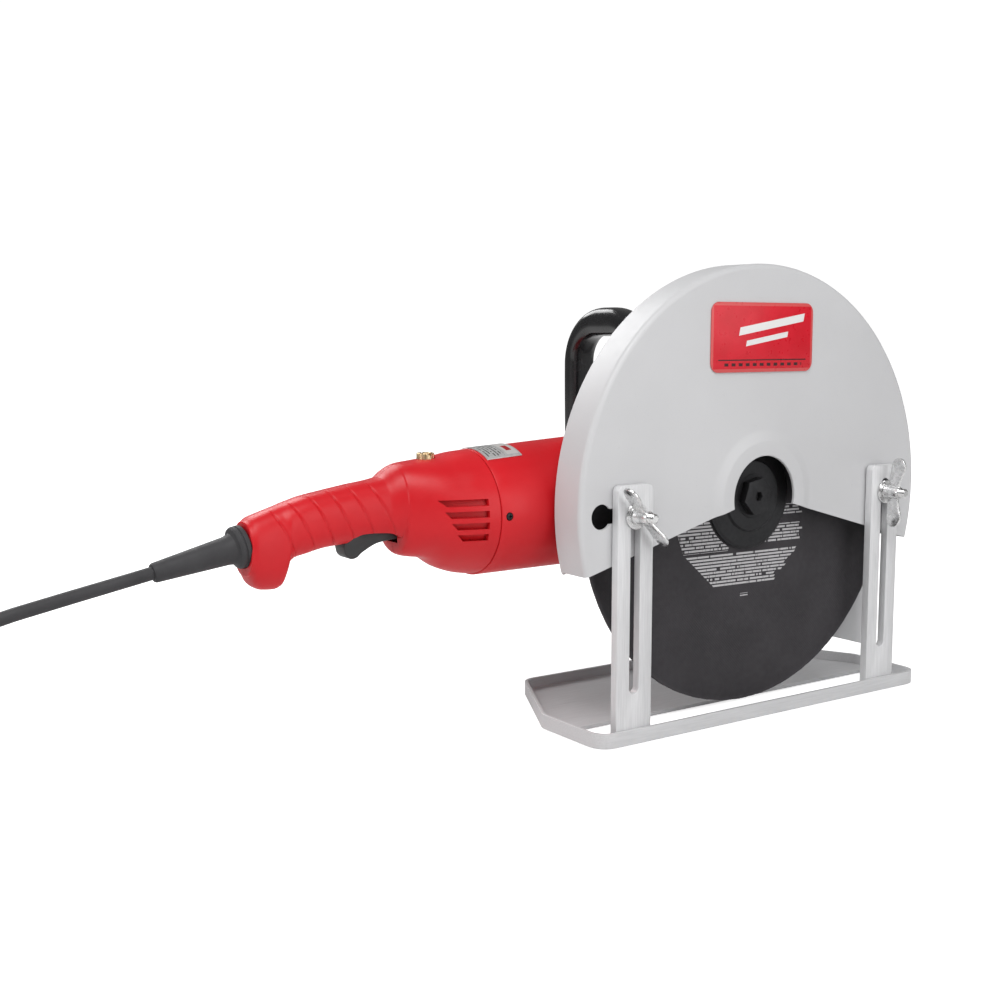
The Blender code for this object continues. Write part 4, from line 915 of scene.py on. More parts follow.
def gear_case():
    here = (0, 0, AXIS_Z)
    body = [
        (0, -0.0547), (0.0425, -0.0547), (0.0448, -0.0540), (0.0455, -0.0520), (0.0455, 0.0313),
        (0.0448, 0.0320), (0, 0.0320)
    ]
    case = lathe("gear_case_visual", body, "Y", here, None, 120)
    neck = [
        (0, -0.1130), (0.0522, -0.1130), (0.0528, -0.1124), (0.0528, -0.1091), (0.0520, -0.1085),
        (0.0400, -0.1075)
    ]
    neck += [
        (0.0352, -0.1062), (0.0340, -0.1040), (0.0340, -0.0560), (0.0325, -0.0515), (0.0312, -0.0480),
        (0.0312, -0.0300), (0, -0.0300)
    ]
    boss = rod("bail_boss", (-0.094, -0.0377, AXIS_Z), (-0.094, 0.0377, AXIS_Z), 0.0115, 64)
    merge(case, lathe("neck", neck, "X", here, None, 120), boss)
    chamber = [(0, -0.033), (0.0365, -0.033), (0.0365, 0.034), (0, 0.034)]
    nose = [
        (0, -0.056), (0.0125, -0.056), (0.0125, -0.0500), (0.0203, -0.0500), (0.0203, -0.032), (0, -0.032)
    ]
    bore = [(0, -0.115), (0.030, -0.115), (0.030, -0.1045), (0.0178, -0.1045), (0.0178, -0.0900)]
    bore += [(0.0150, -0.0900), (0.0150, -0.0600), (0.0230, -0.0600), (0.0230, -0.0200), (0, -0.0200)]
    cutters = [
        lathe("chamber", chamber, "Y", here), lathe("nose", nose, "Y", here), lathe("bore", bore, "X", here)
    ]
    for angle in (30, 150, 270):
        x, z = polar(0.034, angle)
        cutters.append(rod("thread", (x, -0.060, z), (x, -0.0435, z), 0.0029))
    for sign in (-1, 1):
        cutters.append(rod("thread", (-0.094, sign * 0.024, AXIS_Z), (-0.094, sign * 0.040, AXIS_Z), 0.0043))
    carve(case, *cutters)
    finished(case, PAINTS["cast"], "tool", ["gear_case"], 28)

    lid = [
        (0, 0.0375), (0.0110, 0.0375), (0.0125, 0.0369), (0.0330, 0.0369), (0.0345, 0.0375), (0.0440, 0.0375),
        (0.0455, 0.0360)
    ]
    lid += [
        (0.0455, 0.0323), (0.0170, 0.0323), (0.0170, 0.0210), (0.0133, 0.0210), (0.0133, 0.0335), (0, 0.0335)
    ]
    cover = lathe("gear_cover_visual", lid, "Y", here, None, 120)
    holes = []
    for angle in (83, 203, 323):
        x, z = polar(0.0408, angle)
        holes.append(rod("hole", (x, 0.030, z), (x, 0.040, z), 0.0023))
    carve(cover, *holes)
    finished(cover, PAINTS["cast"], "tool", ["gear_case_cover"], 28)
    for index, angle in enumerate((83, 203, 323)):
        x, z = polar(0.0408, angle)
        screw(
            f"cover_screw_piece_{index + 1}", (x, 0, z), 0.0378, 0.0405, 0.0038, 0.0020, 0.0190, "zinc",
            [f"cover_screw_{index + 1}"]
        )
    for index, angle in enumerate((30, 150, 270)):
        x, z = polar(0.034, angle)
        screw(
            f"guard_screw_piece_{index + 1}", (x, 0, z), -0.0580, -0.0608, 0.0052, 0.0026, -0.0440, "zinc",
            [f"guard_screw_{index + 1}"]
        )


def screw(name, centre, seat, top, radius, shank, tip, paint, nodes):
    """A screw along Y: domed head from seat to top with a cross recess, plain shank to tip."""
    up = 1 if top > seat else -1
    edge = seat + up * 0.35 * abs(top - seat)
    profile = [
        (0, top), (0.55 * radius, top), (0.85 * radius, top - up * 0.12 * abs(top - seat)), (radius, edge),
        (radius, seat), (shank, seat), (shank, tip), (0, tip)
    ]
    piece = lathe(name, profile, "Y", centre, None, 40)
    x, _, z = centre
    long, short, deep = 0.55 * radius, 0.14 * radius, 0.5 * abs(top - seat)
    near, far = sorted((top + up * 0.002, top - up * deep))
    carve(piece, box_piece("recess", (x - long, near, z - short), (x + long, far, z + short)))
    carve(piece, box_piece("recess", (x - short, near, z - long), (x + short, far, z + long)))
    return finished(piece, PAINTS[paint], "tool", nodes)


def superellipse(turn, squareness):
    """Across and up, each from -1 to 1, at this turn of a rounded square (2 is a circle)."""
    across, up = math.cos(turn), math.sin(turn)
    return (
        math.copysign(abs(across) ** (2 / squareness), across),
        math.copysign(abs(up) ** (2 / squareness), up),
    )


def skin(name, rings):
    """A closed body through rings of points of equal count."""
    made = bmesh.new()
    rings = [[made.verts.new(point) for point in ring] for ring in rings]
    count = len(rings[0])
    for low, high in zip(rings, rings[1:]):
        for i in range(count):
            j = (i + 1) % count
            made.faces.new((low[i], low[j], high[j], high[i]))
    made.faces.new(rings[0])
    made.faces.new(rings[-1])
    return from_bmesh(name, made)


def bail_stations():
    """Along the bail from its right foot to its left: outer and inner (y, z), half width along X."""
    outer_y, outer_radius = 0.052, 0.048
    inner_foot, inner_y, inner_radius = 0.038, 0.0355, 0.022
    outer_middle = BAIL_TOP - outer_radius
    inner_middle = BAIL_TOP - 0.024 - inner_radius
    half_foot, half_top, foot_round = 0.011, 0.013, 0.003
    leg = []
    for i in range(7):
        part = math.radians(15 * i)
        pull = foot_round * (1 - math.sin(part))
        z = BAIL_FOOT + foot_round * (1 - math.cos(part))
        leg.append(((outer_y - pull, z), (inner_foot + pull, z), half_foot - pull))
    low, high = BAIL_FOOT + foot_round, outer_middle
    for i in range(1, 30):
        part = i / 30
        ease = part * part * (3 - 2 * part)
        inner = inner_foot + (inner_y - inner_foot) * ease
        leg.append(
            (
                (outer_y, low + (high - low) * part),
                (inner, low + (inner_middle - low) * part),
                half_foot + (half_top - half_foot) * ease,
            )
        )
    outer_arch = arc(outer_y - outer_radius, outer_middle, outer_radius, 0, 90, 40)
    inner_arch = arc(inner_y - inner_radius, inner_middle, inner_radius, 0, 90, 40)
    half = leg + [(outer, inner, half_top) for outer, inner in zip(outer_arch, inner_arch)]
    other = [((-outer[0], outer[1]), (-inner[0], inner[1]), width) for outer, inner, width in half]
    return other + half[::-1]


def bail():
    """A moulded loop of rounded section with recessed bolts."""
    sides, squareness = 40, 3.0
    rings = []
    for outer, inner, half_width in bail_stations():
        outer, inner = Vector((BAIL_X, *outer)), Vector((BAIL_X, *inner))
        middle, reach = (outer + inner) / 2, (outer - inner) / 2
        ring = []
        for i in range(sides):
            out, along = superellipse(2 * math.pi * i / sides, squareness)
            ring.append(middle + out * reach + Vector((along * half_width, 0, 0)))
        rings.append(ring)
    loop = skin("bail_piece", rings)
    here = (BAIL_X, 0, AXIS_Z)
    bores = []
    for sign in (-1, 1):
        bore = [(0, 0.037), (0.0043, 0.037), (0.0043, 0.0455), (0.0070, 0.0455), (0.0070, 0.053), (0, 0.053)]
        bore = [(radius, sign * height) for radius, height in bore]
        bores.append(lathe("bore", bore, "Y", here, None, 48))
    carve(loop, *bores)
    finished(loop, PAINTS["bail"], "tool", ["bail_handle"], 40)
    socket = [polar(0.0030, 60 * i) for i in range(6)]
    socket = [(BAIL_X + x, z) for x, z in socket]
    for sign, label in ((-1, "right"), (1, "left")):
        bolt = [(0, 0.0515), (0.0056, 0.0515), (0.0062, 0.0509), (0.0062, 0.0458)]
        bolt += [(0.0040, 0.0458), (0.0040, 0.0245), (0, 0.0245)]
        bolt = [(radius, sign * height) for radius, height in bolt]
        piece = lathe(f"bail_bolt_piece_{label}", bolt, "Y", here, None, 48)
        near, far = sorted((sign * 0.0485, sign * 0.053))
        carve(piece, prism("socket", socket, near, far, "Y"))
        finished(piece, PAINTS["black_steel"], "tool", [f"bail_bolt_{label}"])


def motor_section(x, grow=0.0):
    """The housing's outline at x, moved outwards by grow: top, bottom, half width."""
    part = (x - MOTOR_BACK) / (MOTOR_FRONT - MOTOR_BACK)
    ends = zip(MOTOR_BACK_SECTION, MOTOR_FRONT_SECTION)
    top, bottom, half_width = (back + (front - back) * part for back, front in ends)
    return top + grow, bottom - grow, half_width + grow


def motor_point(x, turn, grow=0.0):
    top, bottom, half_width = motor_section(x, grow)
    middle, half = (top + bottom) / 2, (top - bottom) / 2
    return Vector((x, half_width * math.cos(turn), AXIS_Z + middle + half * math.sin(turn)))


def motor_skin(name, stations):
    """A body along the housing through stations (x, growth)."""
    sides = 180
    turns = [2 * math.pi * i / sides for i in range(sides)]
    return skin(name, [[motor_point(x, turn, grow) for turn in turns] for x, grow in stations])


def motor():
    edge = 0.0008
    ends = [(MOTOR_BACK, -edge), (MOTOR_BACK + 0.3 * edge, -0.3 * edge), (MOTOR_BACK + edge, 0)]
    middle = [(MOTOR_BACK + (MOTOR_FRONT - MOTOR_BACK) * i / 12, 0) for i in range(1, 12)]
    front = [(MOTOR_FRONT - edge, 0), (MOTOR_FRONT - 0.3 * edge, -0.3 * edge), (MOTOR_FRONT, -edge)]
    housing = motor_skin("motor_tube", ends + middle + front)
    cutters = [motor_skin("motor_bore", [(MOTOR_BACK - 0.001, -WALL), (MOTOR_FRONT + 0.001, -WALL)])]
    side = motor_section(LUG_SCREW_X)[2]
    for sign in (-1, 1):
        near = (LUG_SCREW_X, sign * (side - 0.008), LUG_SCREW_Z)
        far = (LUG_SCREW_X, sign * (side + 0.003), LUG_SCREW_Z)
        cutters.append(rod("screw_hole", near, far, 0.0033))
    carve(housing, *cutters)
    finished(housing, PAINTS["red"], "tool", ["motor_housing"])
    for sign, label in ((-1, "right"), (1, "left")):
        name, node = f"housing_screw_piece_{label}", f"housing_screw_{label}"
        seat, top, tip = (sign * (side + height) for height in (-0.0027, 0.0006, -0.0090))
        screw(name, (LUG_SCREW_X, 0, LUG_SCREW_Z), seat, top, 0.0030, 0.0016, tip, "black_steel", [node])
    nameplate()


def nameplate():
    """A thin label that follows the housing's top."""
    across, along = 40, 12
    (back, front), (near, far) = LABEL
    made = bmesh.new()
    layers = []
    for grow in (GAP, 0.0009):
        rows = []
        for j in range(along + 1):
            x = back + (front - back) * j / along
            half_width = motor_section(x, grow)[2]
            start, end = math.acos(near / half_width), math.acos(far / half_width)
            turns = [start + (end - start) * i / across for i in range(across + 1)]
            rows.append([made.verts.new(motor_point(x, turn, grow)) for turn in turns])
        layers.append(rows)
    for rows in layers:
        for first, second in zip(rows, rows[1:]):
            for i in range(across):
                made.faces.new((first[i], first[i + 1], second[i + 1], second[i]))
    low, high = layers
    for end in (0, along):
        for i in range(across):
            made.faces.new((low[end][i], low[end][i + 1], high[end][i + 1], high[end][i]))
    for end in (0, across):
        for j in range(along):
            made.faces.new((low[j][end], low[j + 1][end], high[j + 1][end], high[j][end]))
    plate = from_bmesh("rating_plate", made)
    finished(plate, PAINTS["label"], "tool", ["nameplate"])


# --- rear handle ---

# Along the handle: x, top and bottom above the motor's axis, half width, squareness of the section.
HANDLE = [
    (-0.4305, 0.0030, -0.0370, 0.0165, 2.5),
    (-0.4270, 0.0058, -0.0440, 0.0178, 2.5),
    (-0.4200, 0.0082, -0.0475, 0.0182, 2.5),
    (-0.4110, 0.0110, -0.0482, 0.0180, 2.5),
    (-0.4060, 0.0125, -0.0465, 0.0180, 2.5),
    (-0.4030, 0.0134, -0.0400, 0.0180, 2.5),
    (-0.4005, 0.0142, -0.0310, 0.0180, 2.5),
    (-0.3940, 0.0160, -0.0262, 0.0180, 2.5),
    (-0.3860, 0.0182, -0.0245, 0.0180, 2.5),
    (-0.3680, 0.0213, -0.0210, 0.0180, 2.5),
    (-0.3496, 0.0242, -0.0200, 0.0183, 2.5),
    (-0.3214, 0.0284, -0.0205, 0.0208, 2.4),
    (-0.3137, 0.0336, -0.0215, 0.0235, 2.3),
    (-0.3088, 0.0362, -0.0225, 0.0255, 2.3),
    (-0.3072, 0.0370, -0.0305, 0.0262, 2.3),
    (-0.3030, 0.0382, -0.0332, 0.0285, 2.3),
    (-0.2860, 0.0400, -0.0365, 0.0370, 2.2),
    (-0.2700, 0.0418, -0.0460, 0.0435, 2.1),
    (-0.2545, 0.0445, -0.0512, 0.0480, 2.0),
    (-0.2403, 0.0456, -0.0535, 0.0500, 2.0),
]
GRIP = (-0.4130, -0.3160)
GROOVES = [-0.4080 + 0.0172 * i for i in range(6)]  # x where each crosses the motor's axis height
GROOVE_LEAN = 0.50  # how far forwards a groove runs, per metre down
TRIGGER_PIVOT = (-0.307, 0.0, AXIS_Z - 0.0135)
TRIGGER_HALF_WIDTH = 0.0078
TRIGGER_OPENING = 0.0086  # half width of the gap in the handle


def slopes(knots, values):
    """Slopes at the knots of a curve that doesn't overshoot between them."""
    steps = [(b - a) / (y - x) for a, b, x, y in zip(values, values[1:], knots, knots[1:])]
    inner = [0.0 if a * b <= 0 else 2 * a * b / (a + b) for a, b in zip(steps, steps[1:])]
    return [steps[0], *inner, steps[-1]]


HANDLE_X = [row[0] for row in HANDLE]
HANDLE_COLUMNS = [[row[k] for row in HANDLE] for k in range(1, 5)]
HANDLE_SLOPES = [slopes(HANDLE_X, column) for column in HANDLE_COLUMNS]


def handle_at(x):
    """Top, bottom, half width and squareness of the handle at x, on a smooth curve."""
    x = min(max(x, HANDLE_X[0]), HANDLE_X[-1])
    i = max(k for k in range(len(HANDLE_X) - 1) if HANDLE_X[k] <= x)
    span = HANDLE_X[i + 1] - HANDLE_X[i]
    t = (x - HANDLE_X[i]) / span
    first = (1 + 2 * t) * (1 - t) ** 2
    last = t**2 * (3 - 2 * t)
    leave, arrive = t * (1 - t) ** 2 * span, t**2 * (t - 1) * span
    return [
        first * column[i] + last * column[i + 1] + leave * slope[i] + arrive * slope[i + 1]
        for column, slope in zip(HANDLE_COLUMNS, HANDLE_SLOPES)
    ]


def hollow_at(x):
    """The same for the space inside, a wall's thickness in from every nearby stretch."""
    around = [handle_at(x + step * WALL) for step in (-1.3, -0.6, 0, 0.6, 1.3)]
    top = min(section[0] for section in around) - WALL
    bottom = max(section[1] for section in around) + WALL
    return top, bottom, min(section[2] for section in around) - WALL, handle_at(x)[3]


def groove_depth(x, up, side):
    """How deep the grip's slanted grooves are here, in metres. up is above the motor's axis."""
    if abs(side) < 0.25:
        return 0.0
    along = x + GROOVE_LEAN * up
    fade = min(1.0, (abs(side) - 0.25) / 0.25)
    nearest = min(abs(along - line) for line in GROOVES)
    return 0.0009 * fade * math.exp(-((nearest / 0.0006) ** 2))


def loft(name, stations, sides, grooved=False):
    """A closed body through superellipse sections (x, top, bottom, half width, squareness, scale)."""
    rings = []
    for x, top, bottom, half_width, squareness, scale in stations:
        middle, half = (top + bottom) / 2, (top - bottom) / 2 * scale
        ring = []
        for i in range(sides):
            side, rise = superellipse(2 * math.pi * i / sides, squareness)
            y, up = half_width * scale * side, middle + half * rise
            if grooved and GRIP[0] - 0.012 < x < GRIP[1] + 0.012:
                depth = groove_depth(x, up, side)
                away = Vector((y, up - middle)).normalized() * depth
                y, up = y - away.x, up - away.y
            ring.append((x, y, AXIS_Z + up))
        rings.append(ring)
    return skin(name, rings)


def handle_stations():
    """Close sections over the grip, for its grooves, and wider ones elsewhere."""
    places = []
    x = HANDLE_X[0]
    while x < HANDLE_X[-1]:
        places.append(x)
        x += 0.00045 if GRIP[0] - 0.012 < x < GRIP[1] + 0.012 else 0.0014
    stations = [(x, *handle_at(x), 1.0) for x in places]
    start, end = handle_at(HANDLE_X[0]), handle_at(HANDLE_X[-1])
    cap = [
        (HANDLE_X[0] - 0.0012 * math.sin(a), *start, 1 - 0.07 * (1 - math.cos(a)))
        for a in (1.57, 1.2, 0.8, 0.4)
    ]
    lip = [(HANDLE_X[-1] - 0.0006, *end, 1.0), (HANDLE_X[-1], *end, 0.988)]
    return cap + stations + lip


def vent_shape(index):
    """A vent's outline: a slot with a slanted rear end."""
    middle = AXIS_Z + 0.0090 * (1 - index)
    left, right = -0.2887 + 0.0049 * index, -0.2502
    slant = 0.0065 if index == 0 else 0.0045
    half = 0.0026
    return [
        (left, middle + half),
        (left + slant, middle - half),
        (right, middle - half),
        (right, middle + half),
    ]


def handle():
    shell = loft("handle_outer", handle_stations(), 96, True)
    start, end, step = -0.4240, -0.2450, 0.0022
    count = int((end - start) / step)
    inside = [(start + step * i, *hollow_at(start + step * i), 1.0) for i in range(count + 1)]
    inside.append((-0.2380, *hollow_at(-0.2430), 1.0))
    hollow = loft("handle_hollow", inside, 48)
    # The wall keeps a boss at each end of the trigger's pin.
    px, _, pz = TRIGGER_PIVOT
    bosses = [
        rod("pin_boss", (px, sign * (TRIGGER_OPENING - GAP), pz), (px, sign * 0.0300, pz), 0.0045)
        for sign in (-1, 1)
    ]
    carve(hollow, *bosses)
    cutters = [hollow, rod("pin_seat", (px, -0.0185, pz), (px, 0.0185, pz), 0.0023)]
    for index in range(4):
        for near, far in ((-0.06, -0.015), (0.015, 0.06)):
            cutters.append(prism("vent", vent_shape(index), near, far, "Y"))
    arch = [(-0.3530, -0.0230), (-0.3510, -0.0170), (-0.3465, -0.0137), (-0.3394, -0.0119)]
    arch += [(-0.3206, -0.0127), (-0.3100, -0.0160), (-0.3088, -0.0180)]
    arch = [(point.x, point.y) for point in smooth_route([(x, z, 0) for x, z in arch], 0.0012)]
    arch = [(x, AXIS_Z + z) for x, z in arch + [(-0.3085, -0.0400), (-0.3530, -0.0400)]]
    cutters.append(prism("trigger_arch", arch, -0.04, 0.04, "Y"))
    pocket = [(-0.3558, -0.0450), (-0.3082, -0.0450), (-0.3082, -0.0225), (-0.2995, -0.0225)]
    pocket += [(-0.2995, -0.0020), (-0.3558, -0.0020)]
    pocket = [(x, AXIS_Z + z) for x, z in pocket]
    cutters.append(prism("trigger_opening", pocket, -TRIGGER_OPENING, TRIGGER_OPENING, "Y"))
    seat = [(0, 0.055), (0.0075, 0.055), (0.0075, 0.0392), (0.0058, 0.0392), (0.0058, 0.030), (0, 0.030)]
    cutters.append(lathe("cap_seat", seat, "Z", (BRUSH_X, 0, AXIS_Z), None, 64))
    for low, high, radius in ((-0.008, 0.006, 0.0108), (0.0030, 0.020, 0.0162)):
        cutters.append(
            rod("relief_hole", RELIEF_START + low * RELIEF_RUN, RELIEF_START + high * RELIEF_RUN, radius, 64)
        )
    carve(shell, *cutters)
    for sign, label in ((-1, "right"), (1, "left")):
        half = shell.copy()
        half.data = shell.data.copy()
        half.name = f"handle_half_{label}"
        bpy.context.scene.collection.objects.link(half)
        near, far = sorted((sign * GAP / 2, sign * 0.07))
        carve(half, box_piece("half", (-0.5, near, 0.08), (-0.2, far, 0.3)), operation="INTERSECT")
        finished(half, PAINTS["red"], "tool", [f"handle_shell_{label}"], 38)
    bpy.data.objects.remove(shell, do_unlink=True)
    vent_liners()
    brush_cap()
    trigger()
    relief()


def vent_liners():
    """A red liner behind the vents of each half, which keeps the motor out of sight."""
    for sign, label in ((-1, "right"), (1, "left")):
        rings = []
        for x in (-0.2950, -0.2850, -0.2750, -0.2650, -0.2550, -0.2480):
            top, bottom, half_width, squareness = hollow_at(x)
            middle, half = (top + bottom) / 2, (top - bottom) / 2
            ring = []
            for shrink in (0.0006, 0.0018):
                angles = range(-38, 39, 4) if shrink < 0.001 else range(38, -39, -4)
                for angle in angles:
                    across, up = superellipse(math.radians(angle), squareness)
                    y = (half_width - shrink) * across
                    ring.append((x, sign * y, AXIS_Z + middle + (half - shrink) * up))
            rings.append(ring)
        piece = skin(f"vent_liner_{label}", rings)
        finished(piece, PAINTS["red"], "tool")


def brush_cap():
    """A screwed brass cap with a broad slot and small notches round its rim."""

    def notched(angle, radius, height):
        if radius > 0.0062 and height > 0.0410:
            return radius - (0.0006 if math.cos(12 * angle) > 0.55 else 0.0)
        return radius

    profile = [
        (0, 0.0444), (0.0036, 0.0444), (0.0042, 0.0450), (0.0063, 0.0450), (0.0070, 0.0442), (0.0070, 0.0395)
    ]
    profile += [(0.0055, 0.0395), (0.0055, 0.0305), (0, 0.0305)]
    cap = lathe("brass_cap", profile, "Z", (BRUSH_X, 0, AXIS_Z), None, 144, notched)
    low, high = AXIS_Z + 0.0430, AXIS_Z + 0.06
    carve(cap, box_piece("slot", (BRUSH_X - 0.0012, -0.02, low), (BRUSH_X + 0.0012, 0.02, high)))
    finished(cap, PAINTS["brass"], "tool", ["brush_cap"])


def trigger():
    """A paddle with a concave finger rest and rounded edges, hinged at its front end."""
    px, _, pz = TRIGGER_PIVOT
    rest = [
        (-0.3020, -0.0185), (-0.3060, -0.0190), (-0.3150, -0.0196), (-0.3268, -0.0215), (-0.3382, -0.0270)
    ]
    tip = [(-0.3430, -0.0306), (-0.3480, -0.0313), (-0.3525, -0.0280), (-0.3543, -0.0215)]
    curved = smooth_route([(x, z, 0) for x, z in rest + tip], 0.0015)
    outline = [(point.x, AXIS_Z + point.y) for point in curved]
    outline += [(-0.3510, AXIS_Z - 0.0095), (-0.3045, AXIS_Z - 0.0095), (-0.3020, AXIS_Z - 0.0145)]
    lever = prism("trigger_paddle", outline, -TRIGGER_HALF_WIDTH, TRIGGER_HALF_WIDTH, "Y")
    soften(lever, 0.0018, 4, 40)
    pin_hole = rod("pin_hole", (px, -0.02, pz), (px, 0.02, pz), 0.0023)
    pocket = rod("pocket", (-0.335, 0, AXIS_Z - 0.016), (-0.335, 0, AXIS_Z), 0.0036)
    carve(lever, pin_hole, pocket)
    finished(lever, PAINTS["black"], "trigger_lever", ["trigger"])


RELIEF_START = Vector((-0.4275, 0.0, AXIS_Z - 0.0138))
RELIEF_RUN = Vector((-1.0, 0.0, -0.197)).normalized()
RELIEF_LENGTH = 0.073


def relief():
    """The lead's tapered sleeve, with its collar and a small flare beside it."""
    profile = [(0, -0.0095), (0.0118, -0.0095), (0.0118, -0.0062), (0.0104, -0.0062), (0.0104, 0.0033)]
    profile += [(0.0146, 0.0033), (0.0154, 0.0040), (0.0156, 0.0054), (0.0156, 0.0068), (0.0149, 0.0073)]
    profile += [(0.0149, 0.0078), (0.0156, 0.0083), (0.0155, 0.0100), (0.0146, 0.0114), (0.0124, 0.0124)]
    taper_start, taper_end = 0.0130, RELIEF_LENGTH - 0.0015
    count = 46
    for i in range(count + 1):
        part = i / count
        here = taper_start + (taper_end - taper_start) * part
        flare = 0.0010 * max(0.0, 1 - part / 0.10) ** 2
        profile.append((0.0106 + (0.0071 - 0.0106) * part + flare, here))
    profile += [(0.0064, RELIEF_LENGTH - 0.0002), (0.0052, RELIEF_LENGTH), (0, RELIEF_LENGTH)]
    turn = Vector((0, 0, 1)).rotation_difference(RELIEF_RUN).to_matrix()
    sleeve = lathe("cord_sleeve", profile, turn, RELIEF_START, None, 72)
    finished(sleeve, PAINTS["rubber"], "tool", ["strain_relief"], 28)


# --- depth shoe ---

SHOE_CORNERS = [
    (-0.181, -0.0995), (0.197, -0.0995), (0.197, -0.024), (0.144, 0.080), (-0.127, 0.080), (-0.181, -0.022)
]


def shoe():
    """A pressed tray with a rounded rim, open under the wheel, and a slotted bar at each end."""
    rim, floor_top = 0.012, 0.003
    outline = rounded(SHOE_CORNERS, 0.018, 12)
    tray = prism("shoe_tray", outline, 0, rim)
    dish = rounded(inset(SHOE_CORNERS, WALL), 0.0150, 12)
    carve(tray, prism("dish", dish, floor_top, 0.03))
    soften(tray, 0.0013, 4, 40)
    opening = rounded_box(-0.166, -0.0965, 0.180, -0.0454, 0.003)
    carve(tray, prism("blade_opening", opening, -0.01, 0.0031))
    finished(tray, PAINTS["shoe"], "depth_shoe", ["shoe_plate"], 30)
    for sign, label in ((-1, "left"), (1, "right")):
        x, half = sign * STUD_X, 0.0355 / 2
        low, high, corner = 0.0015, AXIS_Z + 0.020, 0.005
        outline = arc(x + half - corner, high - corner, corner, 0, 90, 10)
        outline += arc(x - half + corner, high - corner, corner, 90, 180, 10)
        outline += [(x - half, low), (x + half, low)]
        bar = prism(f"slotted_bar_{label}", outline, BAR_FRONT, BAR_BACK, "Y")
        slot = slot_outline(x, 0.040, 0.194, 0.0098, 16)
        carve(bar, prism("slot", slot, BAR_FRONT - 0.01, BAR_BACK + 0.01, "Y"))
        soften(bar, 0.0007, 3, 40)
        finished(bar, PAINTS["bar"], "depth_shoe", [f"upright_{label}"])


# --- mains lead ---

LEAD_ROUTE = [
    (-0.4925, 0.0, 0.1595),
    (-0.5150, 0.0, 0.1552),
    (-0.5350, 0.0, 0.1514),
    (-0.5700, 0.0, 0.1447),
    (-0.6050, 0.0, 0.1374),
    (-0.6350, 0.0, 0.1270),
    (-0.6580, 0.0, 0.1080),
    (-0.6740, 0.0, 0.0830),
    (-0.6870, 0.0, 0.0560),
    (-0.7020, 0.0, 0.0310),
    (-0.7220, -0.0010, 0.0130),
    (-0.7390, -0.0030, 0.0066),
    (-0.7550, -0.0055, 0.0052),
    (-0.7720, -0.0078, 0.0051),
]
TAIL_ROUTE = [
    (-0.7780, 0.1130, 0.0125),
    (-0.7600, 0.1100, 0.0078),
    (-0.7420, 0.1062, 0.0056),
    (-0.7260, 0.1043, 0.0082),
    (-0.7080, 0.1040, 0.0128),
    (-0.7000, 0.1040, 0.0138),
]


def coil_route():
    """Five and a half turns wound inwards on the floor and back outwards on top, clockwise from above."""
    step, low, high = 2 * CORD_RADIUS, 0.0051, 0.0146
    radii = [
        COIL_RADIUS + step, COIL_RADIUS, COIL_RADIUS - step, COIL_RADIUS - step, COIL_RADIUS,
        COIL_RADIUS + step
    ]
    levels = [low, low, low, high, high, high]
    per_turn, shift = 36, 9
    points = []
    for turn in range(6):
        for i in range(per_turn if turn < 5 else per_turn // 2 + 1):
            ease = max(0.0, (i - (per_turn - shift)) / shift)
            ease = ease * ease * (3 - 2 * ease)
            after = min(turn + 1, 5)
            radius = radii[turn] + (radii[after] - radii[turn]) * ease
            height = levels[turn] + (levels[after] - levels[turn]) * ease
            angle = math.radians(-90) - 2 * math.pi * i / per_turn
            points.append(
                (COIL_MIDDLE[0] + radius * math.cos(angle), COIL_MIDDLE[1] + radius * math.sin(angle), height)
            )
    return points


def lead():
    route = smooth_route(LEAD_ROUTE, ROUTE_STEP)
    route += [Vector(p) for p in coil_route()]
    route += smooth_route(TAIL_ROUTE, ROUTE_STEP)
    curve = bpy.data.curves.new("mains_lead", "CURVE")
    curve.dimensions = "3D"
    curve.bevel_depth = CORD_RADIUS
    curve.bevel_resolution = 6
    curve.use_fill_caps = True
    curve.resolution_u = 4
    spline = curve.splines.new("POLY")
    spline.points.add(len(route) - 1)
    for point, at in zip(spline.points, route):
        point.co = (*at, 1)
    cord = bpy.data.objects.new("mains_lead", curve)
    bpy.context.scene.collection.objects.link(cord)
    spline.use_smooth = True
    curve.materials.append(PAINTS["rubber"])
    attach(cord, "tool")
    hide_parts("cord_lead", "cord_coil", "cord_tail")
    plug, pins, ground = plug_pieces()


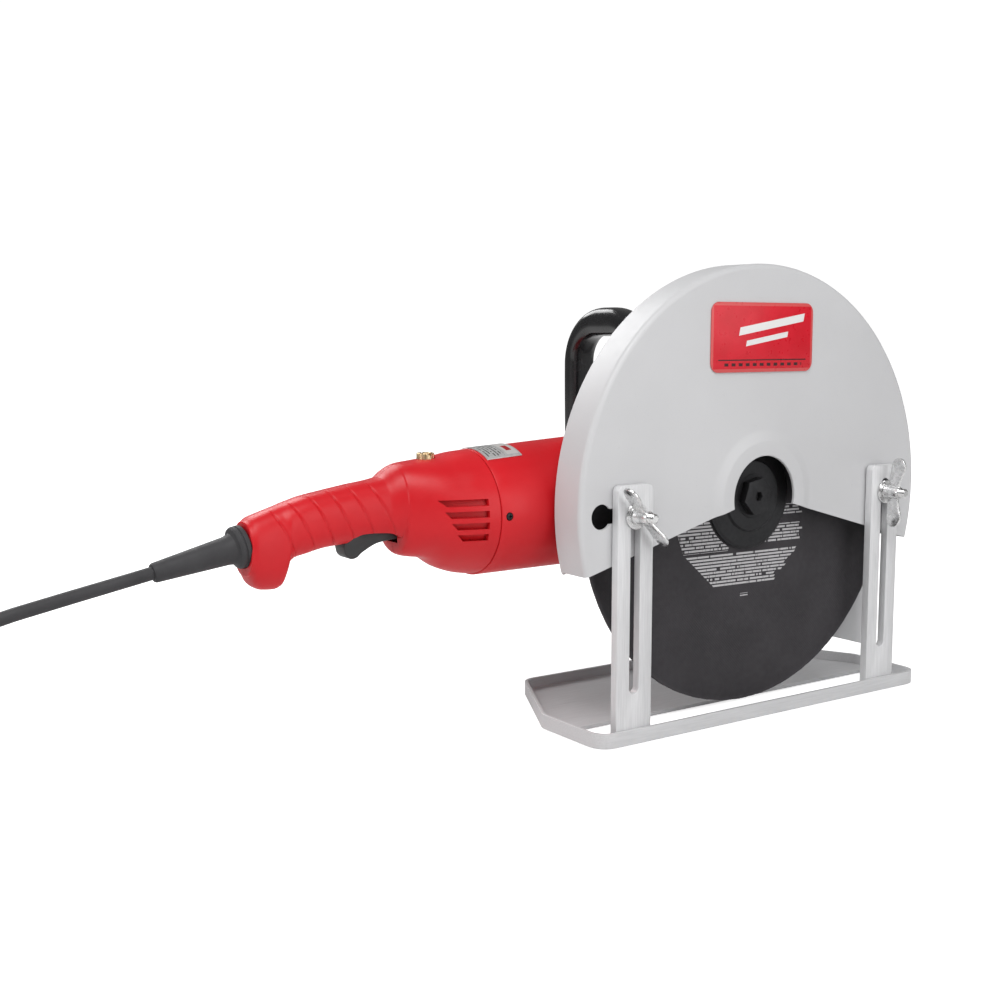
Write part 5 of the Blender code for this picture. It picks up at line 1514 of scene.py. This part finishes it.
def plug_pieces():
    """A moulded three-pin plug: waisted grip with finger ribs, two flat blades and a round ground pin."""
    x, y, z = -0.7080, 2 * COIL_RADIUS, 0.0140
    made = bmesh.new()
    sides, rings = 48, []
    sections = [
        (0.0, 0.0062, 0.0062), (0.0008, 0.0078, 0.0078), (0.010, 0.0088, 0.0088), (0.012, 0.0094, 0.0094)
    ]
    for i in range(18):
        part = i / 17
        swell = 0.0100 + 0.0025 * part**1.3 + 0.0004 * math.sin(part * 5 * 2 * math.pi)
        sections.append((0.0130 + 0.0200 * part, swell, swell * 1.02))
    sections += [(0.0345, 0.0130, 0.0134), (0.0390, 0.0130, 0.0134), (0.0400, 0.0122, 0.0126)]
    for along, half_y, half_z in sections:
        ring = []
        for i in range(sides):
            turn = 2 * math.pi * i / sides
            across, rise = math.cos(turn), math.sin(turn)
            side = half_y * math.copysign(abs(across) ** 0.8, across)
            up = half_z * math.copysign(abs(rise) ** 0.8, rise)
            ring.append(made.verts.new((x + along, y + side, z + up)))
        rings.append(ring)
    for first, second in zip(rings, rings[1:]):
        for i in range(sides):
            j = (i + 1) % sides
            made.faces.new((first[i], first[j], second[j], second[i]))
    made.faces.new(rings[0])
    made.faces.new(rings[-1])
    grip = from_bmesh("plug_grip", made)
    finished(grip, PAINTS["rubber"], "tool", ["plug_body"])
    face = x + 0.0400
    blades = None
    for sign in (-1, 1):
        middle = y + sign * 0.00635
        outline = [(face - 0.004, z - 0.0055), (face + 0.0158, z - 0.0055), (face + 0.0170, z - 0.0043)]
        outline += [(face + 0.0170, z - 0.0002), (face + 0.0158, z + 0.0010), (face - 0.004, z + 0.0010)]
        blade = prism("plug_blades", outline, middle - 0.0008, middle + 0.0008, "Y")
        hole_x, hole_z = face + 0.0125, z - 0.00225
        hole = rod("blade_hole", (hole_x, middle - 0.01, hole_z), (hole_x, middle + 0.01, hole_z), 0.0015, 24)
        carve(blade, hole)
        blades = merge(blades, blade) if blades else blade
    finished(blades, PAINTS["brass"], "tool")
    pin = [(0, 0), (0.0024, 0), (0.0024, 0.0205), (0.0019, 0.0222), (0.0010, 0.0230), (0, 0.0230)]
    ground = lathe("plug_ground_pin", pin, "X", (face - 0.004, y, z + 0.0085), None, 32)
    finished(ground, PAINTS["brass"], "tool")
    return grip, blades, ground


# --- pieces inside, which keep their frame shapes ---

INSIDE = {
    "steel": [
        "armature",
        "bevel_gear",
        "bevel_pinion",
        "motor_front_bearing",
        "motor_rear_bearing",
        "spindle",
        "spindle_front_bearing",
        "spindle_rear_bearing",
        "stator",
        "trigger_pin",
        "trigger_spring",
    ],
    "copper": ["commutator"],
    "black": ["brush_carrier", "cooling_fan", "switch_body"],
    "brass": ["brush_holder_lower", "brush_holder_upper"],
    "carbon": ["carbon_brush_lower", "carbon_brush_upper"],
}


def inside():
    for paint, names in INSIDE.items():
        for name in names:
            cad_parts[name].material_slots[0].material = PAINTS[paint]


stage()
guard()
fixings()
wheel()
gear_case()
bail()
motor()
handle()
shoe()
lead()
inside()
